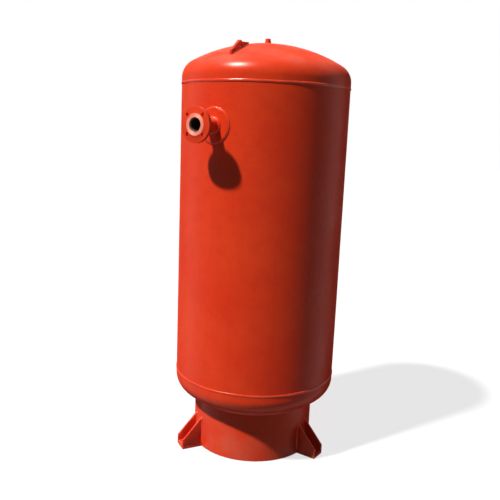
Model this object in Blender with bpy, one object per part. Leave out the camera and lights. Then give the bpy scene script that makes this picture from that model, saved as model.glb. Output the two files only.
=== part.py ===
"""A vertical air receiver tank: a welded steel pressure vessel on a skirt with three feet.

Metres, +Z up. The origin is on the tank's axis at floor level. The outlet nozzle faces -Y near the top,
and the inlet nozzle faces +Y near the bottom. Turns about the axis are measured from -Y towards -X.
"""

import math

import bmesh
import bpy
from mathutils import Matrix, Vector

# ---------------------------------------------------------------- driving dimensions
CLEARANCE = 0.0003  # gap between neighbouring pieces
BIG_FACETS = 48  # round pieces as wide as the vessel
SMALL_FACETS = 24  # nozzles and couplings
FITTING_FACETS = 16  # drain fittings

SHELL_DIAMETER = 0.800  # outside
SHELL_LENGTH = 1.400  # from seam to seam
SHELL_WALL = 0.006
HEAD_CLEARANCE = 0.182  # from the floor to the bottom head
SEAM_GAP = 0.003  # root gap that a butt weld fills
SEAM_CAP_WIDTH = 0.012
SEAM_CAP_HEIGHT = 0.0022
LONG_SEAM_TURN = 100.0  # degrees

HEAD_WALL = 0.008
HEAD_CROWN_RADIUS = 0.720  # outside
HEAD_KNUCKLE_RADIUS = 0.085  # outside
HEAD_STRAIGHT_FLANGE = 0.025
KNUCKLE_STEPS = 3
CROWN_STEPS = 4

SKIRT_DIAMETER = 0.600  # outside
SKIRT_WALL = 0.006
SKIRT_WELD_LEG = 0.009
HAND_HOLE_WIDTH = 0.160
HAND_HOLE_HEIGHT = 0.130
HAND_HOLE_CENTRE = 0.112  # above the floor

FOOT_TURNS = {"front_left": 30.0, "rear_left": 150.0, "right": 270.0}  # degrees
FOOT_PROJECTION = 0.098  # from the skirt's outside
FOOT_WIDTH = 0.078
FOOT_PLATE = 0.012
ANCHOR_HOLE = 0.022
GUSSET_PLATE = 0.010
GUSSET_HEIGHT = 0.162  # top of the gusset on the skirt
GUSSET_TOE = 0.046  # height of the gusset's outer end
ANCHOR_HOLE_INSET = 0.044  # from the foot's outer edge

NOZZLE_PROJECTION = 0.130  # from the shell's outside to the flange's sealing face
OUTLET_DROP = 0.190  # of the outlet's centre below the top seam
INLET_RISE = 0.183  # of the inlet's centre above the bottom seam
NECK_DIAMETER = 0.0603
NECK_WALL = 0.0039
NECK_INNER_PROJECTION = 0.006
PAD_DIAMETER = 0.150
PAD_PLATE = 0.006
PAD_WELD_LEG = 0.006
NECK_WELD_LEG = 0.009
FLANGE_DIAMETER = 0.152
FLANGE_PLATE = 0.014
RAISED_FACE_DIAMETER = 0.092
RAISED_FACE = 0.0016
FLANGE_BOLT_CIRCLE = 0.1143
FLANGE_BOLT_HOLE = 0.0175
FLANGE_BOLTS = 4
NECK_SETBACK = 0.005  # of the neck's end behind the sealing face
FLANGE_WELD_LEG = 0.007

LUG_TURNS = {"front": -5.5, "rear": 174.5}  # degrees
LUG_INSET = 0.059  # of the lug's outer end from the shell's outside
LUG_LENGTH = 0.146
LUG_HEIGHT = 0.037  # of the eye's rim above the dome
LUG_END_HEIGHT = 0.022
LUG_PLATE = 0.012
LUG_EYE = 0.020
LUG_RIM = 0.012  # round the eye

COUPLING_DIAMETER = 0.0286
COUPLING_STANDOFF = 0.015  # outside the head's crown
COUPLING_WELD_LEG = 0.006
THREAD_DIAMETER = 0.0213  # of half-inch pipe
PLUG_HEX = 0.024  # across flats
PLUG_HEAD = 0.009
PLUG_THREAD = 0.014

PIPE_WALL = 0.0028
THREAD_ENGAGEMENT = 0.012
NIPPLE_LENGTH = 0.046
ELBOW_REACH = 0.028  # from the elbow's centre to its faces
ELBOW_BEND = 0.016
ELBOW_BAND = 0.0300
ELBOW_TUBE = 0.0260
ELBOW_BORE = 0.0170
VALVE_PROJECTION = 0.052  # from the skirt's outside to the ball's centre

VALVE_HALF_LENGTH = 0.030
VALVE_BODY_DIAMETER = 0.033
VALVE_HEX = 0.027
VALVE_SPLIT = 0.016  # from the ball's centre to the body's open end
VALVE_PORT = 0.0130
SEAT_PORT_STEP = 0.0007  # by which the seats and the passage stand back from the port
BALL_DIAMETER = 0.023
CHAMBER_DIAMETER = 0.0252
SEAT_NEAR = 0.0067
SEAT_FAR = 0.0124
BOSS_DIAMETER = 0.019
BOSS_TOP = 0.024
STEM_DIAMETER = 0.008
STEM_COLLAR = 0.011
STEM_COLLAR_TOP = 0.0145
PACKING_DIAMETER = 0.0134
PACKING_HEIGHT = 0.004
GLAND_HEX = 0.017
GLAND_HEAD = 0.006
STEM_SQUARE = 0.006
TANG_WIDTH = 0.003
TANG_LENGTH = 0.007
TANG_DEPTH = 0.003  # of its slot in the ball
LEVER_STRIP = 0.003
LEVER_WIDTH = 0.018
LEVER_LENGTH = 0.095
LEVER_RISE = 0.012
LEVER_NUT_HEX = 0.010
LEVER_NUT_HEIGHT = 0.0045
STUD_DIAMETER = 0.0056
SLEEVE_LENGTH = 0.058
SLEEVE_WALL = 0.0022

# ---------------------------------------------------------------- sizes that follow from them
SHELL_RADIUS = SHELL_DIAMETER / 2
SKIRT_RADIUS = SKIRT_DIAMETER / 2
NECK_RADIUS = NECK_DIAMETER / 2
THREAD_RADIUS = THREAD_DIAMETER / 2
THREADED_BORE = THREAD_RADIUS + CLEARANCE
COUPLING_RADIUS = COUPLING_DIAMETER / 2
HEAD_HOLE = COUPLING_RADIUS + CLEARANCE
CROWN_CENTRE_DROP = math.sqrt(
    (HEAD_CROWN_RADIUS - HEAD_KNUCKLE_RADIUS) ** 2 - (SHELL_RADIUS - HEAD_KNUCKLE_RADIUS) ** 2
)
HEAD_DEPTH = HEAD_STRAIGHT_FLANGE + HEAD_CROWN_RADIUS - CROWN_CENTRE_DROP
BOTTOM_SEAM_HEIGHT = HEAD_CLEARANCE + HEAD_DEPTH + SEAM_GAP / 2
TOP_SEAM_HEIGHT = BOTTOM_SEAM_HEIGHT + SHELL_LENGTH
SHELL_BOTTOM = BOTTOM_SEAM_HEIGHT + SEAM_GAP / 2
SHELL_TOP = TOP_SEAM_HEIGHT - SEAM_GAP / 2
BOTTOM_HEAD_RIM = BOTTOM_SEAM_HEIGHT - SEAM_GAP / 2
TOP_HEAD_RIM = TOP_SEAM_HEIGHT + SEAM_GAP / 2
FLANGE_FACE = SHELL_RADIUS + NOZZLE_PROJECTION
OUTLET_HEIGHT = TOP_SEAM_HEIGHT - OUTLET_DROP
INLET_HEIGHT = BOTTOM_SEAM_HEIGHT + INLET_RISE
FOOT_REACH = SKIRT_RADIUS + FOOT_PROJECTION
LUG_OUTER_RADIUS = SHELL_RADIUS - LUG_INSET
VALVE_DISTANCE = SKIRT_RADIUS + VALVE_PROJECTION


# ---------------------------------------------------------------- materials
def material(name, colour, roughness, metallic=0.0):
    """A plain Principled finish."""
    made = bpy.data.materials.new(name)
    made.use_nodes = True
    shader = made.node_tree.nodes["Principled BSDF"]
    shader.inputs["Base Color"].default_value = (*colour, 1.0)
    shader.inputs["Roughness"].default_value = roughness
    shader.inputs["Metallic"].default_value = metallic
    return made


def make_materials():
    return {
        "tank_paint": material("tank_paint", (0.62, 0.06, 0.025), 0.3),
        "weld_paint": material("weld_paint", (0.60, 0.06, 0.025), 0.35),
        "zinc": material("zinc", (0.62, 0.63, 0.65), 0.35, 1.0),
        "brass": material("brass", (0.72, 0.55, 0.27), 0.3, 1.0),
        "chrome": material("chrome", (0.80, 0.80, 0.80), 0.1, 1.0),
        "seal": material("seal", (0.85, 0.85, 0.82), 0.5),
        "grip": material("grip", (0.70, 0.05, 0.03), 0.5),
    }


# ---------------------------------------------------------------- modelling helpers
def put_in_scene(name, shape, finish, place=None):
    """Makes an object from a bmesh, with smooth round faces and sharp corners."""
    bmesh.ops.recalc_face_normals(shape, faces=shape.faces)
    mesh = bpy.data.meshes.new(name)
    shape.to_mesh(mesh)
    shape.free()
    mesh.shade_smooth()
    mesh.set_sharp_from_angle(angle=math.radians(35))
    made = bpy.data.objects.new(name, mesh)
    bpy.context.scene.collection.objects.link(made)
    if finish is not None:
        mesh.materials.append(finish)
    if place is not None:
        made.matrix_world = place
    return made


def helper_object(name, shape, place=None):
    """A cutter or an added shape: it never shows, and only Booleans read it."""
    made = put_in_scene(name, shape, None, place)
    made.hide_render = True
    made.display_type = "WIRE"
    return made


def boolean(piece, operation, other):
    step = piece.modifiers.new(operation.lower() + "_" + other.name, "BOOLEAN")
    step.operation = operation
    step.object = other
    step.solver = "EXACT"


def lathe(profile, facets, closed=True):
    """Turns (radius, height) points about Z. A profile that starts and ends on the axis isn't closed."""
    shape = bmesh.new()
    points = [shape.verts.new((radius, 0, height)) for radius, height in profile]
    ends = zip(points, points[1:] + points[:1] if closed else points[1:])
    edges = [shape.edges.new(pair) for pair in ends]
    bmesh.ops.spin(
        shape, geom=points + edges, cent=(0, 0, 0), axis=(0, 0, 1), angle=math.tau, steps=facets, use_merge=True
    )
    bmesh.ops.remove_doubles(shape, verts=shape.verts, dist=1e-6)
    return shape


def tube(inner_radius, outer_radius, low, high, facets):
    return lathe([(inner_radius, low), (outer_radius, low), (outer_radius, high), (inner_radius, high)], facets)


def rod(radius, low, high, facets):
    return lathe([(0, low), (radius, low), (radius, high), (0, high)], facets, closed=False)


def hexagon(across_flats, low, high):
    return rod(across_flats / 2 / math.cos(math.pi / 6), low, high, 6)


def block(low, high):
    """A box between two corners."""
    shape = bmesh.new()
    bmesh.ops.create_cube(shape, size=1)
    low, high = Vector(low), Vector(high)
    bmesh.ops.scale(shape, vec=high - low, verts=shape.verts)
    bmesh.ops.translate(shape, vec=(low + high) / 2, verts=shape.verts)
    return shape


def plate(outline, thickness):
    """A flat plate with an outline of (x, z) points, centred on y = 0."""
    shape = bmesh.new()
    face = shape.faces.new([shape.verts.new((x, -thickness / 2, z)) for x, z in outline])
    grown = bmesh.ops.extrude_face_region(shape, geom=[face])["geom"]
    added = [item for item in grown if isinstance(item, bmesh.types.BMVert)]
    bmesh.ops.translate(shape, vec=(0, thickness, 0), verts=added)
    return shape


def bend_to_shell(shape):
    """Wraps a shape that stands on the local z axis round the tank's axis, each point at its own radius."""
    for point in shape.verts:
        point.co.z = math.sqrt(point.co.z**2 - point.co.x**2)
    return shape


def arc(centre, radius, start, end, steps):
    """Points on an arc, both ends included, with its angles in degrees."""
    angles = [math.radians(start + (end - start) * i / steps) for i in range(steps + 1)]
    return [(centre[0] + radius * math.cos(a), centre[1] + radius * math.sin(a)) for a in angles]


def turned(degrees):
    """A turn about the tank's axis that takes -Y towards -X."""
    return Matrix.Rotation(-math.radians(degrees), 4, "Z")


def outward(degrees, height):
    """Local z points out from the tank at this turn, and local y points up."""
    facing_front = Matrix(((1, 0, 0, 0), (0, 0, -1, 0), (0, 1, 0, 0), (0, 0, 0, 1)))
    return turned(degrees) @ Matrix.Translation((0, 0, height)) @ facing_front


# ---------------------------------------------------------------- the vessel
def head_curve(inset, hole_radius):
    """(radius, height above the rim) of a dished head's surface, inset from the outside, from rim to hole."""
    knuckle_centre = SHELL_RADIUS - HEAD_KNUCKLE_RADIUS
    crown_radius = HEAD_CROWN_RADIUS - inset
    knuckle_end = math.degrees(math.atan2(CROWN_CENTRE_DROP, knuckle_centre))
    hole_angle = 90 - math.degrees(math.asin(hole_radius / crown_radius))
    knuckle = arc(
        (knuckle_centre, HEAD_STRAIGHT_FLANGE), HEAD_KNUCKLE_RADIUS - inset, 0, knuckle_end, KNUCKLE_STEPS
    )
    crown = arc((0, HEAD_STRAIGHT_FLANGE - CROWN_CENTRE_DROP), crown_radius, knuckle_end, hole_angle, CROWN_STEPS)
    return [(SHELL_RADIUS - inset, 0)] + knuckle + crown[1:]


def head_height(radius):
    """Height of the faceted outside of a head above its rim, at a radius."""
    curve = head_curve(0, HEAD_HOLE)
    for (far, low), (near, high) in zip(curve[1:], curve[2:]):
        if near <= radius <= far:
            return high + (low - high) * (radius - near) / (far - near)
    return curve[-1][1]


def top_head_at(radius):
    return TOP_HEAD_RIM + head_height(radius)


def bottom_head_at(radius):
    return BOTTOM_HEAD_RIM - head_height(radius)


def make_heads(finish):
    outside = head_curve(0, HEAD_HOLE)
    inside = head_curve(HEAD_WALL, HEAD_HOLE)
    profile = outside + inside[::-1]
    for name, rim, way in (("top_head", TOP_HEAD_RIM, 1), ("bottom_head", BOTTOM_HEAD_RIM, -1)):
        put_in_scene(name, lathe([(radius, rim + way * height) for radius, height in profile], BIG_FACETS), finish)


def make_shell(finish):
    """The rolled plate, with its slit along the long seam and a hole for each nozzle."""
    shell = put_in_scene(
        "shell", tube(SHELL_RADIUS - SHELL_WALL, SHELL_RADIUS, SHELL_BOTTOM, SHELL_TOP, BIG_FACETS), finish
    )
    for name, turn, height in (("outlet", 0, OUTLET_HEIGHT), ("inlet", 180, INLET_HEIGHT)):
        hole = rod(NECK_RADIUS + CLEARANCE, SHELL_RADIUS - 0.05, SHELL_RADIUS + 0.05, SMALL_FACETS)
        boolean(shell, "DIFFERENCE", helper_object(name + "_hole", hole, outward(turn, height)))
    half_slit = SEAM_GAP / 2
    slit = block(
        (-half_slit, -SHELL_RADIUS - 0.01, SHELL_BOTTOM - 0.01),
        (half_slit, -SHELL_RADIUS + SHELL_WALL + 0.01, SHELL_TOP + 0.01),
    )
    boolean(shell, "DIFFERENCE", helper_object("long_seam_slit", slit, turned(LONG_SEAM_TURN)))


def seam_section(plate_wall):
    """A butt weld's section as (across, out) points: a web in the root gap under a crowned cap."""
    half_web = SEAM_GAP / 2 - CLEARANCE
    half_cap = SEAM_CAP_WIDTH / 2
    right = [
        (half_web, CLEARANCE - plate_wall),
        (half_web, CLEARANCE),
        (half_cap, CLEARANCE),
        (half_cap * 0.45, SEAM_CAP_HEIGHT),
    ]
    return right + [(-across, out) for across, out in right[::-1]]


def make_seam_welds(finish):
    for name, height in (("top_seam_weld", TOP_SEAM_HEIGHT), ("bottom_seam_weld", BOTTOM_SEAM_HEIGHT)):
        profile = [(SHELL_RADIUS + out, height + across) for across, out in seam_section(SHELL_WALL)]
        put_in_scene(name, lathe(profile, BIG_FACETS), finish)
    facet = math.radians(360 / BIG_FACETS)
    offset = math.radians(LONG_SEAM_TURN) % facet - facet / 2
    flat_radius = SHELL_RADIUS * math.cos(facet / 2) / math.cos(offset)
    section = [(across, flat_radius + out) for across, out in seam_section(SHELL_WALL)]
    length = SHELL_TOP - SHELL_BOTTOM - SEAM_CAP_WIDTH
    lying = plate(section, length)
    upright = Matrix(((1, 0, 0, 0), (0, 0, -1, 0), (0, 1, 0, (SHELL_TOP + SHELL_BOTTOM) / 2), (0, 0, 0, 1)))
    facet_tilt = Matrix.Translation((0, -flat_radius, 0)) @ Matrix.Rotation(offset, 4, "Z")
    facet_tilt = facet_tilt @ Matrix.Translation((0, flat_radius, 0))
    put_in_scene("long_seam_weld", lying, finish, turned(LONG_SEAM_TURN) @ facet_tilt @ upright)


# ---------------------------------------------------------------- skirt and feet
def make_skirt(finish, weld_finish):
    inner = SKIRT_RADIUS - SKIRT_WALL
    profile = [
        (inner, 0),
        (SKIRT_RADIUS, 0),
        (SKIRT_RADIUS, bottom_head_at(SKIRT_RADIUS) - CLEARANCE),
        (inner, bottom_head_at(inner) - CLEARANCE),
    ]
    skirt = put_in_scene("skirt", lathe(profile, BIG_FACETS), finish)
    end_radius = HAND_HOLE_HEIGHT / 2
    end_centre = HAND_HOLE_WIDTH / 2 - end_radius
    ends = arc((end_centre, HAND_HOLE_CENTRE), end_radius, -90, 90, 8)
    ends += arc((-end_centre, HAND_HOLE_CENTRE), end_radius, 90, 270, 8)
    place = Matrix.Translation((0, SKIRT_RADIUS, 0))
    boolean(skirt, "DIFFERENCE", helper_object("hand_hole", plate(ends, 0.1), place))
    corner = SKIRT_RADIUS + CLEARANCE
    toe = corner + SKIRT_WELD_LEG
    fillet = [
        (corner, bottom_head_at(corner) - CLEARANCE),
        (toe, bottom_head_at(toe) - CLEARANCE),
        (corner, bottom_head_at(corner) - CLEARANCE - SKIRT_WELD_LEG),
    ]
    put_in_scene("skirt_weld", lathe(fillet, BIG_FACETS), weld_finish)


def make_feet(finish):
    """Each foot is a base plate with an anchor hole, between two gussets that run up the skirt."""
    skirt_space = helper_object(
        "skirt_space", rod(SKIRT_RADIUS + CLEARANCE, -0.1, GUSSET_HEIGHT + 0.1, BIG_FACETS)
    )
    inner = SKIRT_RADIUS * math.cos(math.asin(FOOT_WIDTH / 2 / SKIRT_RADIUS)) - 0.005
    standing = FOOT_PLATE + CLEARANCE
    outline = [(inner, standing), (FOOT_REACH, standing), (FOOT_REACH, GUSSET_TOE), (inner, GUSSET_HEIGHT)]
    side = (FOOT_WIDTH - GUSSET_PLATE) / 2
    for foot, turn in FOOT_TURNS.items():
        place = turned(turn)
        base = put_in_scene(
            foot + "_foot_plate", block((-FOOT_WIDTH / 2, -FOOT_REACH, 0), (FOOT_WIDTH / 2, -inner, FOOT_PLATE)),
            finish, place,
        )
        hole = rod(ANCHOR_HOLE / 2, -0.01, FOOT_PLATE + 0.01, SMALL_FACETS)
        at_hole = place @ Matrix.Translation((0, ANCHOR_HOLE_INSET - FOOT_REACH, 0))
        boolean(base, "DIFFERENCE", helper_object(foot + "_anchor_hole", hole, at_hole))
        boolean(base, "DIFFERENCE", skirt_space)
        radial = Matrix.Rotation(-math.pi / 2, 4, "Z")
        for hand, way in (("left", -1), ("right", 1)):
            gusset = put_in_scene(
                foot + "_foot_" + hand + "_gusset", plate(outline, GUSSET_PLATE), finish,
                place @ Matrix.Translation((way * side, 0, 0)) @ radial,
            )
            boolean(gusset, "DIFFERENCE", skirt_space)


# ---------------------------------------------------------------- nozzles
def fillet(corner_radius, corner_height, leg, way=1):
    """A fillet weld's section round a neck: out by a leg, and up or down the neck by a leg."""
    return [
        (corner_radius, corner_height),
        (corner_radius + leg, corner_height),
        (corner_radius, corner_height + way * leg),
    ]


def make_nozzle(name, turn, height, finish, weld_finish):
    place = outward(turn, height)
    around_neck = NECK_RADIUS + CLEARANCE
    neck_bore = NECK_RADIUS - NECK_WALL
    neck_start = SHELL_RADIUS - SHELL_WALL - NECK_INNER_PROJECTION
    neck_end = FLANGE_FACE - NECK_SETBACK
    put_in_scene(name + "_neck", tube(neck_bore, NECK_RADIUS, neck_start, neck_end, SMALL_FACETS), finish, place)

    pad_bottom = SHELL_RADIUS + CLEARANCE
    pad_top = pad_bottom + PAD_PLATE
    pad_radius = PAD_DIAMETER / 2
    pad = put_in_scene(name + "_pad", rod(pad_radius, SHELL_RADIUS - 0.05, pad_top + 0.05, SMALL_FACETS), finish, place)
    pad_layer = tube(pad_bottom, pad_top, height - PAD_DIAMETER, height + PAD_DIAMETER, BIG_FACETS)
    boolean(pad, "INTERSECT", helper_object(name + "_pad_layer", pad_layer))
    neck_space = rod(around_neck, SHELL_RADIUS - 0.06, pad_top + 0.06, SMALL_FACETS)
    boolean(pad, "DIFFERENCE", helper_object(name + "_pad_hole", neck_space, place))
    pad_weld = fillet(pad_radius + CLEARANCE, pad_bottom, PAD_WELD_LEG)
    put_in_scene(name + "_pad_weld", bend_to_shell(lathe(pad_weld, SMALL_FACETS)), weld_finish, place)
    neck_weld = fillet(around_neck, pad_top + CLEARANCE, NECK_WELD_LEG)
    put_in_scene(name + "_neck_weld", bend_to_shell(lathe(neck_weld, SMALL_FACETS)), weld_finish, place)

    flange_front = FLANGE_FACE - RAISED_FACE
    flange_back = flange_front - FLANGE_PLATE
    profile = [
        (around_neck, flange_back),
        (FLANGE_DIAMETER / 2, flange_back),
        (FLANGE_DIAMETER / 2, flange_front),
        (RAISED_FACE_DIAMETER / 2, flange_front),
        (RAISED_FACE_DIAMETER / 2, FLANGE_FACE),
        (around_neck, FLANGE_FACE),
    ]
    flange = put_in_scene(name + "_flange", lathe(profile, SMALL_FACETS * 2), finish, place)
    for bolt in range(FLANGE_BOLTS):
        angle = math.tau * (bolt + 0.5) / FLANGE_BOLTS
        across = FLANGE_BOLT_CIRCLE / 2 * math.cos(angle)
        up = FLANGE_BOLT_CIRCLE / 2 * math.sin(angle)
        hole = rod(FLANGE_BOLT_HOLE / 2, flange_back - 0.01, FLANGE_FACE + 0.01, FITTING_FACETS)
        at_hole = place @ Matrix.Translation((across, up, 0))
        boolean(flange, "DIFFERENCE", helper_object(f"{name}_bolt_hole_{bolt + 1}", hole, at_hole))
    back_weld = fillet(around_neck, flange_back - CLEARANCE, FLANGE_WELD_LEG, -1)
    put_in_scene(name + "_flange_weld", lathe(back_weld, SMALL_FACETS), weld_finish, place)
    face_weld = [
        (NECK_RADIUS, neck_end + CLEARANCE),
        (NECK_RADIUS, FLANGE_FACE - RAISED_FACE),
        (NECK_RADIUS - NECK_WALL * 0.8, neck_end + CLEARANCE),
    ]
    put_in_scene(name + "_face_weld", lathe(face_weld, SMALL_FACETS), weld_finish, place)


# ---------------------------------------------------------------- lifting lugs and couplings
def make_lugs(finish):
    """Radial plates on the top head, each with an eye and a foot cut to the dome."""
    inner = LUG_OUTER_RADIUS - LUG_LENGTH
    middle = LUG_OUTER_RADIUS - LUG_LENGTH / 2
    dome_bends = [radius for radius, _ in head_curve(0, HEAD_HOLE) if inner < radius < LUG_OUTER_RADIUS]
    foot = [inner] + dome_bends[::-1] + [LUG_OUTER_RADIUS]
    outline = [(radius, top_head_at(radius) + CLEARANCE) for radius in foot]
    rim = LUG_EYE / 2 + LUG_RIM
    eye = (middle, top_head_at(middle) + LUG_HEIGHT - rim)
    outline.append((LUG_OUTER_RADIUS, outline[-1][1] + LUG_END_HEIGHT))
    outline += arc(eye, rim, 35, 130, 8)
    outline.append((inner, outline[0][1] + LUG_END_HEIGHT * 0.5))
    for name, turn in LUG_TURNS.items():
        place = turned(turn) @ Matrix.Rotation(-math.pi / 2, 4, "Z")
        lug = put_in_scene(name + "_lifting_lug", plate(outline, LUG_PLATE), finish, place)
        across = Matrix.Translation((eye[0], 0, eye[1])) @ Matrix.Rotation(math.pi / 2, 4, "X")
        hole = rod(LUG_EYE / 2, -0.05, 0.05, SMALL_FACETS)
        boolean(lug, "DIFFERENCE", helper_object(name + "_lug_eye", hole, place @ across))


def make_coupling(name, way, surface, finish, weld_finish):
    """A half coupling through a head's crown. way is 1 on the top head and -1 on the bottom one."""
    crown = surface(HEAD_HOLE)
    start = crown - way * HEAD_WALL
    end = crown + way * COUPLING_STANDOFF
    low, high = min(start, end), max(start, end)
    put_in_scene(name + "_coupling", tube(THREADED_BORE, COUPLING_RADIUS, low, high, SMALL_FACETS), finish)
    toe = HEAD_HOLE + COUPLING_WELD_LEG
    weld = [
        (HEAD_HOLE, crown + way * CLEARANCE),
        (toe, surface(toe) + way * CLEARANCE),
        (HEAD_HOLE, crown + way * (CLEARANCE + COUPLING_WELD_LEG)),
    ]
    put_in_scene(name + "_coupling_weld", lathe(weld, SMALL_FACETS), weld_finish)
    return end


def make_top_plug(coupling_end, finish):
    shoulder = coupling_end + CLEARANCE
    plug = put_in_scene("top_plug", hexagon(PLUG_HEX, shoulder, shoulder + PLUG_HEAD), finish)
    thread = rod(THREAD_RADIUS, shoulder - PLUG_THREAD, shoulder + PLUG_HEAD / 2, SMALL_FACETS)
    boolean(plug, "UNION", helper_object("top_plug_thread", thread))


# ---------------------------------------------------------------- drain line
def pipe_through(stations, facets):
    """A hollow fitting through stations of (centre, direction, outer radius, inner radius)."""
    shape = bmesh.new()
    outer, inner = [], []
    for centre, direction, *radii in stations:
        side = Vector((1, 0, 0))
        other = Vector(direction).cross(side)
        for radius, loops in zip(radii, (outer, inner)):
            angles = [math.tau * i / facets for i in range(facets)]
            spokes = [side * math.cos(angle) + other * math.sin(angle) for angle in angles]
            loops.append([shape.verts.new(centre + spoke * radius) for spoke in spokes])
    ring = outer + inner[::-1]
    for first, second in zip(ring, ring[1:] + ring[:1]):
        for i in range(facets):
            shape.faces.new((first[i - 1], first[i], second[i], second[i - 1]))
    return shape


def make_elbow(corner, finish):
    """A threaded 90 degree elbow from straight up to +Y, with a band round each mouth."""
    down, back = Vector((0, 0, -1)), Vector((0, 1, 0))
    bend_centre = corner + Vector((0, ELBOW_BEND, ELBOW_BEND))
    band = (ELBOW_BAND / 2, THREADED_BORE)
    bend = (ELBOW_TUBE / 2, ELBOW_BORE / 2)
    stations = [(corner - down * ELBOW_REACH, down, *band), (corner - down * ELBOW_BEND, down, *band)]
    for step in range(5):
        angle = math.pi / 2 * step / 4
        spoke = Vector((0, -math.cos(angle), -math.sin(angle)))
        heading = Vector((0, math.sin(angle), -math.cos(angle)))
        stations.append((bend_centre + spoke * ELBOW_BEND, heading, *bend))
    stations += [(corner + back * ELBOW_BEND, back, *band), (corner + back * ELBOW_REACH, back, *band)]
    put_in_scene("drain_elbow", pipe_through(stations, FITTING_FACETS), finish)


def make_drain_pipes(coupling_end, finish):
    """A nipple down from the bottom coupling, an elbow, and a pipe out through the hand hole."""
    pipe_bore = THREAD_RADIUS - PIPE_WALL
    nipple_top = coupling_end + THREAD_ENGAGEMENT
    nipple_bottom = nipple_top - NIPPLE_LENGTH
    put_in_scene("drain_nipple", tube(pipe_bore, THREAD_RADIUS, nipple_bottom, nipple_top, FITTING_FACETS), finish)
    line_height = nipple_bottom + THREAD_ENGAGEMENT - ELBOW_REACH - CLEARANCE
    make_elbow(Vector((0, 0, line_height)), finish)
    pipe_start = ELBOW_REACH - THREAD_ENGAGEMENT + CLEARANCE
    pipe_end = VALVE_DISTANCE - VALVE_HALF_LENGTH + THREAD_ENGAGEMENT - CLEARANCE
    put_in_scene(
        "drain_pipe", tube(pipe_bore, THREAD_RADIUS, pipe_start, pipe_end, FITTING_FACETS), finish,
        outward(180, line_height),
    )
    return line_height


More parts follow.
